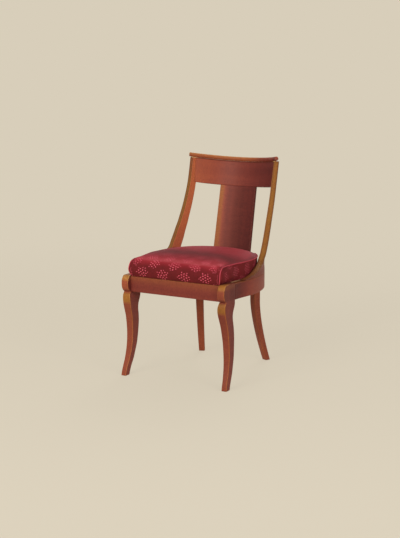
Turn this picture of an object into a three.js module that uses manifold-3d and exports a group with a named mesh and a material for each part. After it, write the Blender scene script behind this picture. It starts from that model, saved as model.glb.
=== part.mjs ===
// A side chair of the gondola kind: sabre legs, a tub-shaped seat frame, swept back posts, a bowed
// crest with a roll on top, a broad plain splat and a lift-out stuffed seat. Millimetres, +Z up,
// +Y to the back. The finished group stands on z = 0 with its middle over the origin.
import * as THREE from "three";
import { mergeVertices } from "three/addons/utils/BufferGeometryUtils.js";
import Module from "manifold-3d";

const wasm = await Module();
wasm.setup();

// Overall sizes
const height = 838;
const frontWidth = 450;
const railBottom = 335;
const railTop = 396;
const backReach = 475;
const rake = THREE.MathUtils.degToRad(12);

// Shared fits
const gap = 0.3;
const overrun = 6;
const arris = 1.5;
const tenonThickness = 9;
const tenonDepth = 20;
const tenonShoulder = 10;

// Tub-shaped line that the outer faces of the side and rear rails follow. It is walked from 0, behind
// the front post, over 1, where it is widest, to 2 at the middle of the back.
const ringWidest = 1;
const ringMiddle = 2;
const ringPitch = 1 / 18;
const ringStep = 1e-3;
const ringHalvings = 40;
const ring = {
  swell: 15,
  widestShare: 0.417,
  squareness: 2.1,
  thickness: 25,
  standOff: 19,
  jointPlace: 1.78,
};
const ringHalf = frontWidth / 2 + ring.swell;
const ringWidestAt = ring.widestShare * backReach;

const post = { width: 29, depth: 70, rise: 4 };
const frontLeg = { splay: 9 };
const rearLeg = {
  width: 31,
  depth: 28,
  place: 1.62,
  inset: 16,
  turn: 24,
  kick: 68,
  kickPower: 1.5,
  kneeShare: 0.776,
  taperShare: 0.77,
};
const frontRail = { setBack: 3, undercut: 3, bulge: 1.5, thickness: 25 };
const stile = { width: 25, topWidth: 20, turn: 24, tenonLength: 70, tenonShare: 0.72, straightShare: 0.175 };
const barrel = { radius: 1.125 * ringHalf, pitch: THREE.MathUtils.degToRad(5) };
const tablet = { height: 99, thickness: 20, tenonHeight: 58, tenonLift: 15, endShare: 1.2 };
const fillet = { height: 2.5, setBack: 2, depth: 18 };
const roll = { radius: 8.5, overhang: 5, sides: 12 };
const splat = { halfTop: 80, halfBottom: 83, thickness: 11, tenonThickness: 6, tenonHalf: 50 };
const dowel = { radius: 2.5, length: 26, setBack: 3.5, inset: 17, sides: 12 };

const block = {
  height: 32,
  drop: 22,
  legAcross: 50,
  legBack: 40,
  land: 12,
  screwShare: 0.66,
  thickness: 20,
  halfLength: 45,
};
const screw = { radius: 2.2, headRadius: 4.5, headHeight: 3, tip: 4, length: 30, blockGrip: 14, sides: 10 };
const stileScrew = { length: 58, counterbore: 16 };

const seat = { clearance: 3, frameThickness: 22, frameWidth: 45, jointPlace: 1.62, lap: 18 };
const web = { width: 46, thickness: 1.3, landing: 16 };
const canvas = { thickness: 1, inset: 12 };
const cushion = {
  rise: 77,
  frontFace: 3,
  corner: 16,
  cover: 2,
  postClearance: 2.5,
  rearFallShare: 0.12,
  fallReachShare: 1.5,
};
const welt = { radius: 2.4, clearance: 1.5, sides: 8, endPlace: 1.5 };

// Middles of the straps: those that run back, as shares of the ring's half width, and those that
// run across, as shares of the way from the seat frame's front board to its back.
const strapAcrossShares = [-0.383, 0, 0.383];
const strapBackShares = [0.188, 0.439, 0.69];

// Sabre front leg up to the rail: height as a share of the rail's underside, front and rear face as
// shares of the post's depth, width as a share of the post's width.
const frontLegShares = [
  [0.0, -0.19, 0.2, 0.74],
  [0.036, -0.16, 0.26, 0.73],
  [0.1, -0.06, 0.39, 0.72],
  [0.18, 0.09, 0.56, 0.78],
  [0.27, 0.21, 0.69, 0.84],
  [0.36, 0.28, 0.8, 0.9],
  [0.45, 0.3, 0.85, 0.95],
  [0.54, 0.28, 0.885, 0.98],
  [0.63, 0.22, 0.885, 1.03],
  [0.72, 0.13, 0.83, 1.07],
  [0.78, 0.03, 0.77, 1.1],
  [0.845, -0.07, 0.77, 1.15],
  [0.885, -0.115, 0.84, 1.17],
  [0.925, -0.136, 0.94, 1.15],
  [0.965, -0.107, 1.0, 1.08],
  [0.991, -0.03, 1.0, 1.03],
];

// Rounded nose of the post beside the rail: height as a share of the post from the rail's underside
// to its own top, front face as a share of the post's depth.
const noseShares = [
  [0.0, 0.0],
  [0.046, -0.057],
  [0.14, -0.143],
  [0.26, -0.207],
  [0.42, -0.243],
  [0.6, -0.243],
  [0.75, -0.214],
  [0.86, -0.164],
  [0.94, -0.1],
  [0.985, -0.029],
  [1.0, 0.014],
];

// Back post: height as a share of its rise above the rail, front and rear end of the section as
// shares of the reach of the back, outer face as a share of the ring's half width.
const stileShares = [
  [0.0, 0.274, 0.72, 1.0],
  [0.006, 0.276, 0.722, 1.0],
  [0.017, 0.347, 0.726, 1.0],
  [0.028, 0.404, 0.732, 1.0],
  [0.043, 0.453, 0.737, 1.0],
  [0.062, 0.507, 0.745, 0.996],
  [0.083, 0.562, 0.754, 0.983],
  [0.104, 0.611, 0.762, 0.965],
  [0.128, 0.653, 0.771, 0.938],
  [0.152, 0.684, 0.779, 0.928],
  [0.175, 0.703, 0.792, 0.921],
  [0.208, 0.72, 0.808, 0.917],
  [0.246, 0.741, 0.827, 0.912],
  [0.294, 0.766, 0.846, 0.904],
  [0.341, 0.789, 0.866, 0.896],
  [0.388, 0.813, 0.886, 0.887],
  [0.436, 0.834, 0.903, 0.879],
  [0.53, 0.874, 0.939, 0.867],
  [0.625, 0.909, 0.971, 0.858],
  [0.72, 0.939, 0.998, 0.85],
  [0.791, 0.957, 1.014, 0.846],
  [0.862, 0.973, 1.026, 0.846],
  [0.933, 0.987, 1.039, 0.846],
  [1.0, 1.0, 1.051, 0.846],
];

// Cushion from its foot to its crown: height as a share of the cushion's rise, then how far the skin
// lies inside the outline at the sides and at the front, as shares of the cushion's rise.
const cushionShares = [
  [0.0, 0.01, 0.0],
  [0.07, -0.02, -0.04],
  [0.2, -0.13, -0.1],
  [0.4, -0.22, -0.13],
  [0.6, -0.2, -0.09],
  [0.76, -0.1, 0.01],
  [0.86, 0.0, 0.12],
  [0.92, 0.1, 0.24],
  [0.96, 0.24, 0.42],
  [1.05, 0.65, 0.8],
  [1.12, 1.2, 1.3],
  [1.16, 2.0, 1.95],
];
const crownShare = 1.18;
const cornerRows = [2, 3, 4, 5];
const edgeRow = 6;

const wood = { color: 0x7d3a2b, roughness: 0.35, metalness: 0 };
const innerWood = { color: 0xa8794a, roughness: 0.7, metalness: 0 };
const damask = { color: 0x8c2a30, roughness: 0.85, metalness: 0 };
const linen = { color: 0xb39a72, roughness: 0.95, metalness: 0 };
const hair = { color: 0x6a5a46, roughness: 1, metalness: 0 };
const steel = { color: 0x8d8a84, roughness: 0.4, metalness: 0.9 };

const chair = new THREE.Group();
const sides = [
  ["left", -1],
  ["right", 1],
];

// Small helpers

// Both ends of a stretch and the multiples of a pitch between them, so that neighbours share facets.
function stations(from, to, pitch) {
  const spots = [from];
  const margin = pitch / 4;
  for (let k = Math.ceil((from + margin) / pitch); k * pitch < to - margin; k++) spots.push(k * pitch);
  return [...spots, to];
}

const smooth = (value) => THREE.MathUtils.smoothstep(value, 0, 1);
const mix = THREE.MathUtils.lerp;

function add(name, geometry, finish) {
  const mesh = new THREE.Mesh(geometry, new THREE.MeshStandardMaterial(finish));
  mesh.name = name;
  chair.add(mesh);
}

// Turns every face round when the closed skin encloses a negative volume.
function facingOut(points, faces) {
  const middle = new THREE.Vector3();
  let volume = 0;
  for (let i = 0; i < faces.length; i += 3) {
    const [a, b, c] = [points[faces[i]], points[faces[i + 1]], points[faces[i + 2]]];
    volume += a.dot(middle.crossVectors(b, c));
  }
  return volume < 0 ? faces.reverse() : faces;
}

// A closed skin over rings of points that all have the same even count. Each end is closed across
// the ring, from the first point to the last, the second to the last but one, and so on.
function loft(rings) {
  const count = rings[0].length;
  const points = rings.flat();
  const faces = [];
  for (let start = 0; start + count < points.length; start += count)
    for (let i = 0; i < count; i++) {
      const j = (i + 1) % count;
      faces.push(start + i, start + j, start + count + j);
      faces.push(start + i, start + count + j, start + count + i);
    }
  for (const [start, turned] of [[0, true], [points.length - count, false]])
    for (let i = 0; i + 1 < count / 2; i++) {
      const across = count - 1 - i;
      const quad = [i, i + 1, across - 1, i, across - 1, across].map((k) => start + k);
      faces.push(...(turned ? quad.reverse() : quad));
    }
  const skin = new THREE.BufferGeometry().setFromPoints(points);
  return skin.setIndex(facingOut(points, faces));
}

function solidOf(geometry) {
  const bare = geometry.clone();
  bare.deleteAttribute("normal");
  bare.deleteAttribute("uv");
  const merged = mergeVertices(bare);
  const triVerts = new Uint32Array(merged.index.array);
  const vertProperties = merged.getAttribute("position").array;
  return new wasm.Manifold(new wasm.Mesh({ numProp: 3, vertProperties, triVerts }));
}

function geometryOf(solid) {
  const mesh = solid.getMesh();
  const made = new THREE.BufferGeometry();
  made.setAttribute("position", new THREE.BufferAttribute(mesh.vertProperties, mesh.numProp));
  return made.setIndex(new THREE.BufferAttribute(mesh.triVerts, 1));
}

function cut(geometry, ...tools) {
  return geometryOf(tools.reduce((left, tool) => left.subtract(solidOf(tool)), solidOf(geometry)));
}

function join(geometry, ...others) {
  return geometryOf(others.reduce((whole, other) => whole.add(solidOf(other)), solidOf(geometry)));
}

// A box between two corners, given as [x, y, z] in any order.
function boxBetween(a, b) {
  const corners = new THREE.Box3().setFromPoints([new THREE.Vector3(...a), new THREE.Vector3(...b)]);
  const size = corners.getSize(new THREE.Vector3());
  const middle = corners.getCenter(new THREE.Vector3());
  return new THREE.BoxGeometry(...size).translate(...middle);
}

// One level ring of a post or leg: four faces with a narrow flat on each arris. The first corner is
// at `at`, and `across` and `back` are its two edges.
function softSquare(at, across, back, z) {
  const u = across.clone().setLength(arris);
  const v = back.clone().setLength(arris);
  const spots = [
    [0, 0, 1, 0], [1, 0, -1, 0], [1, 0, 0, 1], [1, 1, 0, -1],
    [1, 1, -1, 0], [0, 1, 1, 0], [0, 1, 0, -1], [0, 0, 0, 1],
  ];
  return spots.map(([a, b, du, dv]) => {
    const spot = at.clone().addScaledVector(across, a).addScaledVector(back, b);
    spot.addScaledVector(u, du).addScaledVector(v, dv);
    return new THREE.Vector3(spot.x, spot.y, z);
  });
}

// The ring line and what is set out along it

const stileTopX = ringHalf * stileShares.at(-1)[3];
const stileInnerX = stileTopX - stile.topWidth;
const splatFoot = barrelFootY();
const ringDepth = splatFoot + ring.standOff - ringWidestAt;

function ringLine(t) {
  if (t > ringMiddle) {
    const twin = ringLine(2 * ringMiddle - t);
    return twin.setX(-twin.x);
  }
  if (t <= ringWidest) {
    const x = mix(frontWidth / 2, ringHalf, smooth(t));
    return new THREE.Vector2(x, mix(post.depth, ringWidestAt, t));
  }
  const angle = ((ringMiddle - t) * Math.PI) / 2;
  const power = 2 / ring.squareness;
  const x = ringHalf * Math.sin(angle) ** power;
  return new THREE.Vector2(x, ringWidestAt + ringDepth * Math.cos(angle) ** power);
}

// The direction out of the ring, square to it, and how many millimetres one unit of t is long.
function ringOut(t) {
  const along = ringLine(t + ringStep).sub(ringLine(Math.max(t - ringStep, 0)));
  const pace = along.length() / (ringStep + Math.min(t, ringStep));
  return { out: new THREE.Vector2(along.y, -along.x).normalize(), pace };
}

function ringPoint(t, inset) {
  return ringLine(t).addScaledVector(ringOut(t).out, -inset);
}

function ringShift(t, distance) {
  return t + distance / ringOut(t).pace;
}

// A strip that follows the ring, between two insets and two heights, with its outer arrises eased.
function ringStrip(side, from, to, near, far, bottom, top, ease = 0) {
  const outer = ease
    ? [[near + ease, bottom], [near, bottom + ease], [near, top - ease], [near + ease, top]]
    : [[near, bottom], [near, top]];
  const section = [...outer, [far, top], [far, bottom]];
  const rings = stations(from, to, ringPitch).map((t) =>
    section.map(([inset, z]) => {
      const spot = ringPoint(t, inset);
      return new THREE.Vector3(side * spot.x, spot.y, z);
    }),
  );
  return loft(rings);
}

// The place along the ring where a test on the spot at an inset turns true, by halving.
function ringFind(isPast, inset) {
  let low = 0;
  let high = ringMiddle;
  for (let i = 0; i < ringHalvings; i++) {
    const middle = (low + high) / 2;
    if (isPast(ringPoint(middle, inset))) high = middle;
    else low = middle;
  }
  return low;
}

const ringAtY = (y) => ringFind((spot) => spot.y > y, 0);
const ringSpot = (isPast, inset) => ringPoint(ringFind(isPast, inset), inset);

// The raked barrel of the back. Its boards are set out at an angle round the barrel's axis, at a
// radius, and at a height measured along the rake.

function axisSetting() {
  const topSpot = backReach * Math.cos(rake) - stileTopZ() * Math.sin(rake);
  return topSpot - barrelDepthAt(stileInnerX);
}

// How far the barrel's front face lies behind its axis at a distance from the middle.
function barrelDepthAt(x) {
  return Math.sqrt(barrel.radius ** 2 - x ** 2);
}

// Height of the back post's front arris, under the fillet and the roll.
function stileTopZ() {
  const stack = roll.radius + fillet.height + 2 * gap;
  const overhang = barrelDepthAt(stileInnerX) - barrelDepthAt(stileTopX - roll.overhang);
  return height - roll.radius - stack * Math.cos(rake) - overhang * Math.sin(rake);
}

function barrelFootY() {
  const middle = axisSetting() + barrel.radius + splat.thickness / 2;
  return (middle + railTop * Math.sin(rake)) / Math.cos(rake);
}

const axisS = axisSetting();

function fromBarrel(angle, radius, rise) {
  const s = axisS + radius * Math.cos(angle);
  const y = s * Math.cos(rake) + rise * Math.sin(rake);
  return new THREE.Vector3(radius * Math.sin(angle), y, rise * Math.cos(rake) - s * Math.sin(rake));
}

// Rise along the rake at which a spot of the barrel has the height z.
function riseAt(angle, radius, z) {
  return (z + (axisS + radius * Math.cos(angle)) * Math.sin(rake)) / Math.cos(rake);
}

const stileTopRise = backReach * Math.sin(rake) + stileTopZ() * Math.cos(rake);
const tabletTop = stileTopRise;
const tabletBottom = tabletTop - tablet.height;
const filletBottom = stileTopRise + gap;
const rollRise = filletBottom + fillet.height + gap + roll.radius;

// Angles across a board. A tapered board has as many at each level as at its top.
function barrelStations(reach, halfTop) {
  const top = Math.asin(halfTop / barrel.radius);
  return stations(-top, top, barrel.pitch).map((angle) => (angle * reach) / top);
}

// A bowed board: front and back radius, half width at the bottom and top, and the two rises. With
// floor given, its bottom is cut level at that height instead.
function barrelBoard({ front, back, halfBottom, halfTop, bottom, top, floor }) {
  const rings = [[halfBottom, bottom], [halfTop, top]].map(([half, rise], level) => {
    const reach = Math.asin(half / barrel.radius);
    const levelled = level === 0 && floor !== undefined;
    const rows = [front, back].map((radius) =>
      barrelStations(reach, halfTop).map((angle) =>
        fromBarrel(angle, radius, levelled ? riseAt(angle, radius, floor) : rise),
      ),
    );
    return [...rows[0], ...rows[1].reverse()];
  });
  return loft(rings);
}

// Front legs and front rail

function frontPost(side) {
  const rings = [];
  const ringAt = (outer, width, frontY, rearY, z) => {
    const at = new THREE.Vector2(side * outer, frontY);
    rings.push(softSquare(at, new THREE.Vector2(-side * width, 0), new THREE.Vector2(0, rearY - frontY), z));
  };
  for (const [levelShare, frontShare, rearShare, widthShare] of frontLegShares) {
    const outer = frontWidth / 2 + frontLeg.splay * (1 - levelShare) ** 2;
    const z = levelShare * railBottom;
    ringAt(outer, widthShare * post.width, frontShare * post.depth, rearShare * post.depth, z);
  }
  for (const [levelShare, frontShare] of noseShares) {
    const z = mix(railBottom, railTop + post.rise, levelShare);
    ringAt(frontWidth / 2, post.width, frontShare * post.depth, post.depth, z);
  }
  const mortises = [frontRailTenon(side, gap), sideRailTenon(side, gap)];
  return cut(loft(rings), ...mortises, ...blockScrewPlaces(side).map(screwHole));
}

const postInner = frontWidth / 2 - post.width;
const frontRailBack = frontRail.setBack + frontRail.thickness;

function frontRailTenon(side, ease) {
  const y = frontRail.setBack + (frontRail.thickness - tenonThickness) / 2;
  const [bottom, top] = [railBottom + tenonShoulder - ease, railTop - tenonShoulder + ease];
  const near = [side * (postInner - tenonShoulder), y - ease, bottom];
  const far = [side * (postInner + tenonDepth + ease), y + tenonThickness + ease, top];
  return boxBetween(near, far);
}

function sideRailTenon(side, ease) {
  const x = frontWidth / 2 - (ring.thickness - tenonThickness) / 2;
  const [bottom, top] = [railBottom + tenonShoulder - ease, railTop - tenonShoulder + ease];
  const near = [side * (x + ease), post.depth - tenonDepth - ease, bottom];
  const far = [side * (x - tenonThickness - ease), post.depth + tenonShoulder, top];
  return boxBetween(near, far);
}

function frontRailPiece() {
  const outline = new THREE.Shape();
  const frontTop = frontRail.setBack;
  const frontBottom = frontRail.setBack + frontRail.undercut;
  outline.moveTo(frontRailBack, railBottom);
  outline.lineTo(frontRailBack, railTop);
  outline.lineTo(frontTop + arris, railTop);
  outline.lineTo(frontTop, railTop - arris);
  const middle = (railTop + railBottom) / 2;
  outline.quadraticCurveTo(frontTop - frontRail.bulge, middle, frontBottom, railBottom + arris);
  outline.lineTo(frontBottom + arris, railBottom);
  const half = postInner - gap;
  const bar = new THREE.ExtrudeGeometry(outline, { depth: 2 * half, bevelEnabled: false, curveSegments: 8 });
  const turned = new THREE.Matrix4().makeBasis(
    new THREE.Vector3(0, 1, 0), new THREE.Vector3(0, 0, 1), new THREE.Vector3(1, 0, 0));
  bar.applyMatrix4(turned).translate(-half, 0, 0);
  const holes = sides.flatMap(([, side]) => blockScrewPlaces(side).map(screwHole));
  return cut(join(bar, frontRailTenon(-1, 0), frontRailTenon(1, 0)), ...holes);
}

// Side and rear rails

const tenonInset = (ring.thickness - tenonThickness) / 2;
const ringEnd = 2 * ringMiddle;

// Loose tenon that bridges the joint of side and rear rail.
function railKey(side, ease) {
  const from = ringShift(ring.jointPlace, -tenonDepth - ease);
  const to = ringShift(ring.jointPlace, tenonDepth + ease);
  const bottom = railBottom + tenonShoulder - ease;
  const top = railTop - tenonShoulder + ease;
  return ringStrip(side, from, to, tenonInset - ease, tenonInset + tenonThickness + ease, bottom, top);
}

function sideRail(side) {
  const from = ringShift(0, gap);
  const to = ringShift(ring.jointPlace, -gap / 2);
  const strip = ringStrip(side, from, to, 0, ring.thickness, railBottom, railTop, arris);
  const holes = [...jointScrewPlaces(side), ...stileScrewPlaces(side)].map(screwHole);
  const tenon = sideRailTenon(side, 0);
  return cut(join(strip, tenon), railKey(side, gap), stileTenon(side, gap), legTenon(side, gap), ...holes);
}

function rearRail() {
  const from = ringShift(ring.jointPlace, gap / 2);
  const strip = ringStrip(1, from, ringEnd - from, 0, ring.thickness, railBottom, railTop, arris);
  const keys = sides.map(([, side]) => railKey(side, gap));
  const holes = sides.flatMap(([, side]) => jointScrewPlaces(side).map(screwHole));
  return cut(strip, ...keys, splatFootTenon(gap), ...holes);
}

// Rear legs, each tenoned up into its side rail

const rearLegTurn = THREE.MathUtils.degToRad(rearLeg.turn);

function legTenon(side, ease) {
  const half = rearLeg.width / 2 - tenonShoulder / 2 + ease;
  const from = ringShift(rearLeg.place, -half);
  const to = ringShift(rearLeg.place, half);
  const near = rearLeg.inset - tenonThickness / 2 - ease;
  const far = rearLeg.inset + tenonThickness / 2 + ease;
  return ringStrip(side, from, to, near, far, railBottom - tenonShoulder, railBottom + tenonDepth + ease);
}

function rearLegPiece(side) {
  const back = new THREE.Vector2(side * Math.sin(rearLegTurn), Math.cos(rearLegTurn));
  const across = new THREE.Vector2(side * back.y, -side * back.x);
  const foot = ringPoint(rearLeg.place, rearLeg.inset);
  foot.x *= side;
  const levels = 16;
  const rings = [];
  for (let i = 0; i <= levels; i++) {
    const z = ((railBottom - gap) * i) / levels;
    const fall = Math.max(0, 1 - z / (rearLeg.kneeShare * railBottom));
    const slim = mix(1, rearLeg.taperShare, fall);
    const width = rearLeg.width * slim;
    const depth = rearLeg.depth * slim;
    const at = foot.clone().addScaledVector(across, -rearLeg.width / 2);
    at.addScaledVector(back, rearLeg.kick * fall ** rearLeg.kickPower - rearLeg.depth / 2);
    rings.push(softSquare(at, across.clone().setLength(width), back.clone().setLength(depth), z));
  }
  return join(loft(rings), legTenon(side, 0));
}

// Back posts

const stileRise = stileTopZ() - railTop - gap;
const stileTurn = THREE.MathUtils.degToRad(stile.turn);
const edgeSteps = 5;
const footRows = 9;
const climbRows = 4;

// The table of the back post read at any height between its rows.
function stileRow(levelShare) {
  const last = stileShares.length - 1;
  const above = Math.max(1, stileShares.findIndex(([level]) => level >= levelShare));
  const [low, high] = [stileShares[above - 1], stileShares[Math.min(above, last)]];
  const share = (levelShare - low[0]) / (high[0] - low[0]);
  return low.map((value, i) => mix(value, high[i], share));
}

// A spot on the back post at a depth and a height, and at an inset from its outer face. Low down the
// face follows the ring line, and higher it is a straight plank whose rear end lies further in.
function stileSpot(y, z, inset, grow) {
  const levelShare = (z - railTop - gap) / stileRise;
  const [, frontShare, rearShare, outerShare] = stileRow(Math.min(Math.max(levelShare, 0), 1));
  const [frontY, rearY] = [frontShare * backReach - grow, rearShare * backReach + grow];
  const [ringFrom, ringTo] = [ringAtY(frontY), ringAtY(rearY)];
  const straight = smooth(levelShare / stile.straightShare);
  const front = new THREE.Vector2(outerShare * ringHalf, frontY);
  const turned = front.x - (rearY - frontY) * Math.tan(stileTurn);
  const rear = new THREE.Vector2(mix(ringLine(ringTo).x, turned, straight), rearY);
  const plankOut = new THREE.Vector2(rear.y - front.y, front.x - rear.x).normalize();
  const share = (y - frontY) / (rearY - frontY);
  const curved = ringPoint(mix(ringFrom, ringTo, share), inset - grow);
  const plank = front.lerp(rear, share).addScaledVector(plankOut, grow - inset);
  return curved.lerp(plank, straight);
}

// The section that starts at a row of the table runs from the front arris to the rear one. In the
// foot its rear end walks along the rail first and then climbs the back of the post.
function stileSection(row, side, grow) {
  const [levelShare, frontShare, rearShare] = stileShares[row];
  const isTop = row === stileShares.length - 1;
  const [footFront, footRear] = [stileShares[0][1], stileShares[0][2]];
  const along = Math.min(1, row / footRows);
  const climb = smooth((row - footRows) / climbRows);
  const rearLevelShare = levelShare * climb;
  const rearYShare = row < footRows ? mix(footFront, footRear, along) : stileRow(rearLevelShare)[2];
  const width = mix(stile.width, stile.topWidth, levelShare) + 2 * grow;
  const reachShare = climb < 1 ? rearYShare : rearShare;
  const front = new THREE.Vector2(frontShare * backReach - grow, levelShare * stileRise);
  const rear = new THREE.Vector2(reachShare * backReach + grow, rearLevelShare * stileRise);
  const ease = arris / Math.max(front.distanceTo(rear), 4 * arris);
  const edge = (share, inset) => {
    const at = front.clone().lerp(rear, share);
    const z = railTop + gap + at.y;
    const spot = stileSpot(at.x, z, inset, grow);
    const levelled = (stileTopRise + grow * overrun - spot.y * Math.sin(rake)) / Math.cos(rake);
    return new THREE.Vector3(side * spot.x, spot.y, isTop ? levelled : z);
  };
  const shares = Array.from({ length: edgeSteps + 1 }, (_, i) => mix(ease, 1 - ease, i / edgeSteps));
  return [
    edge(0, arris),
    ...shares.map((share) => edge(share, 0)),
    edge(1, arris),
    edge(1, width - arris),
    ...shares.reverse().map((share) => edge(share, width)),
    edge(0, width - arris),
  ];
}

function stileBlank(side, grow = 0) {
  return loft(stileShares.slice(1).map((_, i) => stileSection(i + 1, side, grow)));
}

const stileTenonAt = ringAtY(mix(stileShares[0][1], stileShares[0][2], stile.tenonShare) * backReach);

function stileTenon(side, ease) {
  const half = stile.tenonLength / 2 + ease;
  const from = ringShift(stileTenonAt, -half);
  const to = ringShift(stileTenonAt, half);
  const near = tenonInset - ease;
  const far = tenonInset + tenonThickness + ease;
  return ringStrip(side, from, to, near, far, railTop - tenonDepth - ease, railTop + tenonShoulder / 2);
}

function stilePiece(side) {
  const tools = [tabletTenon(gap), dowelPiece(side, gap), ...stileScrewPlaces(side).map(screwHole)];
  return cut(join(stileBlank(side), stileTenon(side, 0)), ...tools);
}

// Crest: tablet, fillet strip, roll and its dowels

const tabletMiddle = barrel.radius + tablet.thickness / 2;

function tabletTenon(ease) {
  const half = stileInnerX + ease;
  return barrelBoard({
    front: tabletMiddle - tenonThickness / 2 - ease,
    back: tabletMiddle + tenonThickness / 2 + ease,
    halfBottom: half,
    halfTop: half,
    bottom: tabletBottom + tablet.tenonLift - ease,
    top: tabletBottom + tablet.tenonLift + tablet.tenonHeight + ease,
  });
}

function tabletPiece() {
  const half = stileTopX - tablet.endShare * stile.topWidth;
  const blank = barrelBoard({
    front: barrel.radius,
    back: barrel.radius + tablet.thickness,
    halfBottom: half,
    halfTop: half,
    bottom: tabletBottom,
    top: tabletTop,
  });
  const ends = sides.flatMap(([, side]) => {
    const outward = (side * stile.topWidth) / 2;
    return [stileBlank(side, gap), stileBlank(side, gap).translate(outward, 0, 0)];
  });
  const shouldered = cut(blank, ...ends);
  return cut(join(shouldered, tabletTenon(0)), splatHeadTenon(gap));
}

function filletPiece() {
  const back = barrel.radius - fillet.setBack + fillet.depth;
  const half = (stileTopX * barrel.radius) / back;
  const strip = barrelBoard({
    front: barrel.radius - fillet.setBack,
    back,
    halfBottom: half,
    halfTop: half,
    bottom: filletBottom,
    top: filletBottom + fillet.height,
  });
  return cut(strip, dowelPiece(-1, gap), dowelPiece(1, gap));
}

function rollPiece() {
  const reach = Math.asin((stileTopX - roll.overhang) / barrel.radius);
  const round = Array.from({ length: roll.sides }, (_, k) => (2 * Math.PI * k) / roll.sides);
  const rings = stations(-reach, reach, barrel.pitch).map((angle) =>
    round.map((turn) => {
      const radius = barrel.radius + roll.radius * Math.cos(turn);
      return fromBarrel(angle, radius, rollRise + roll.radius * Math.sin(turn));
    }),
  );
  return cut(loft(rings), dowelPiece(-1, gap), dowelPiece(1, gap));
}

// Dowel from the roll through the fillet into the top of the back post.
function dowelPiece(side, ease = 0) {
  const angle = side * Math.asin((stileTopX - dowel.inset) / barrel.radius);
  const radius = dowel.radius + ease;
  const bar = new THREE.CylinderGeometry(radius, radius, dowel.length + 2 * ease, dowel.sides);
  const topRise = rollRise + dowel.radius;
  const middle = fromBarrel(angle, barrel.radius + dowel.setBack, topRise - dowel.length / 2);
  return bar.rotateX(Math.PI / 2 - rake).translate(...middle);
}

// Splat, tenoned into the tablet above and the rear rail below

const splatMiddle = barrel.radius + splat.thickness / 2;

function splatHeadTenon(ease) {
  return barrelBoard({
    front: splatMiddle - splat.tenonThickness / 2 - ease,
    back: splatMiddle + splat.tenonThickness / 2 + ease,
    halfBottom: splat.tenonHalf + ease,
    halfTop: splat.tenonHalf + ease,
    bottom: tabletBottom - tenonShoulder,
    top: tabletBottom + tenonDepth / 2 + ease,
  });
}

function splatFootTenon(ease) {
  return barrelBoard({
    front: splatMiddle - splat.tenonThickness / 2 - ease,
    back: splatMiddle + splat.tenonThickness / 2 + ease,
    halfBottom: splat.tenonHalf + ease,
    halfTop: splat.tenonHalf + ease,
    floor: railTop - tenonDepth - ease,
    top: riseAt(0, splatMiddle, railTop) + tenonShoulder,
  });
}

function splatPiece() {
  const board = barrelBoard({
    front: barrel.radius,
    back: barrel.radius + splat.thickness,
    halfBottom: splat.halfBottom,
    halfTop: splat.halfTop,
    floor: railTop + gap,
    top: tabletBottom - gap,
  });
  return join(board, splatHeadTenon(0), splatFootTenon(0));
}

// Screws, and the blocks behind the rails that they hold

// A screw is given as the middle of its head's face, the direction it points and its length.
function screwPiece({ head, toward, length }) {
  const outline = [
    [0, 0],
    [screw.headRadius, 0],
    [screw.radius, screw.headHeight],
    [screw.radius, length - screw.tip],
    [0, length],
  ].map(([radius, depth]) => new THREE.Vector2(radius, -depth));
  return placed(new THREE.LatheGeometry(outline.reverse(), screw.sides), head, toward);
}

function screwHole({ head, toward, length, counterbore }) {
  const bore = [
    [0, -counterbore],
    [screw.headRadius + gap, -counterbore],
    [screw.headRadius + gap, gap],
    [screw.radius + gap, screw.headHeight + gap],
    [screw.radius + gap, length + gap],
    [0, length + gap],
  ].map(([radius, depth]) => new THREE.Vector2(radius, -depth));
  return placed(new THREE.LatheGeometry(bore.reverse(), screw.sides), head, toward);
}

// Turns a shape that points down from the origin to point along a direction from a place.
function placed(geometry, at, toward) {
  const turn = new THREE.Quaternion().setFromUnitVectors(new THREE.Vector3(0, -1, 0), toward);
  return geometry.applyQuaternion(turn).translate(...at);
}

const blockTop = railTop - block.drop;
const blockBottom = blockTop - block.height;
const blockThirds = [1, 2].map((k) => blockBottom + (block.height * k) / 3);

function cornerBlock(side) {
  const [x, y] = [postInner - gap, frontRailBack + gap];
  const outline = new THREE.Shape();
  outline.moveTo(side * x, y);
  outline.lineTo(side * (x - block.legAcross), y);
  outline.lineTo(side * (x - block.legAcross), y + block.land);
  outline.lineTo(side * (x - block.land), y + block.legBack);
  outline.lineTo(side * x, y + block.legBack);
  const body = new THREE.ExtrudeGeometry(outline, { depth: block.height, bevelEnabled: false });
  return cut(body.translate(0, 0, blockBottom), ...blockScrewPlaces(side).map(screwHole));
}

function blockScrewPlaces(side) {
  const [x, y] = [postInner - gap, frontRailBack + gap];
  const [low, high] = blockThirds;
  return [
    {
      head: new THREE.Vector3(side * (x - block.screwShare * block.legAcross), y + screw.blockGrip, high),
      toward: new THREE.Vector3(0, -1, 0),
      length: screw.length,
      counterbore: block.legBack,
    },
    {
      head: new THREE.Vector3(side * (x - screw.blockGrip), y + block.land, low),
      toward: new THREE.Vector3(side, 0, 0),
      length: screw.length,
      counterbore: block.legAcross,
    },
  ];
}

function jointBlock(side) {
  const from = ringShift(ring.jointPlace, -block.halfLength);
  const to = ringShift(ring.jointPlace, block.halfLength);
  const near = ring.thickness + gap;
  const body = ringStrip(side, from, to, near, near + block.thickness, blockBottom, blockTop);
  return cut(body, ...jointScrewPlaces(side).map(screwHole));
}

function jointScrewPlaces(side) {
  return [-1, 1].map((way) => {
    const t = ringShift(ring.jointPlace, way * (tenonDepth + tenonShoulder + screw.radius));
    const spot = ringPoint(t, ring.thickness + screw.blockGrip);
    const { out } = ringOut(t);
    return {
      head: new THREE.Vector3(side * spot.x, spot.y, (blockBottom + blockTop) / 2),
      toward: new THREE.Vector3(side * out.x, out.y, 0),
      length: screw.length,
      counterbore: block.thickness,
    };
  });
}

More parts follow.
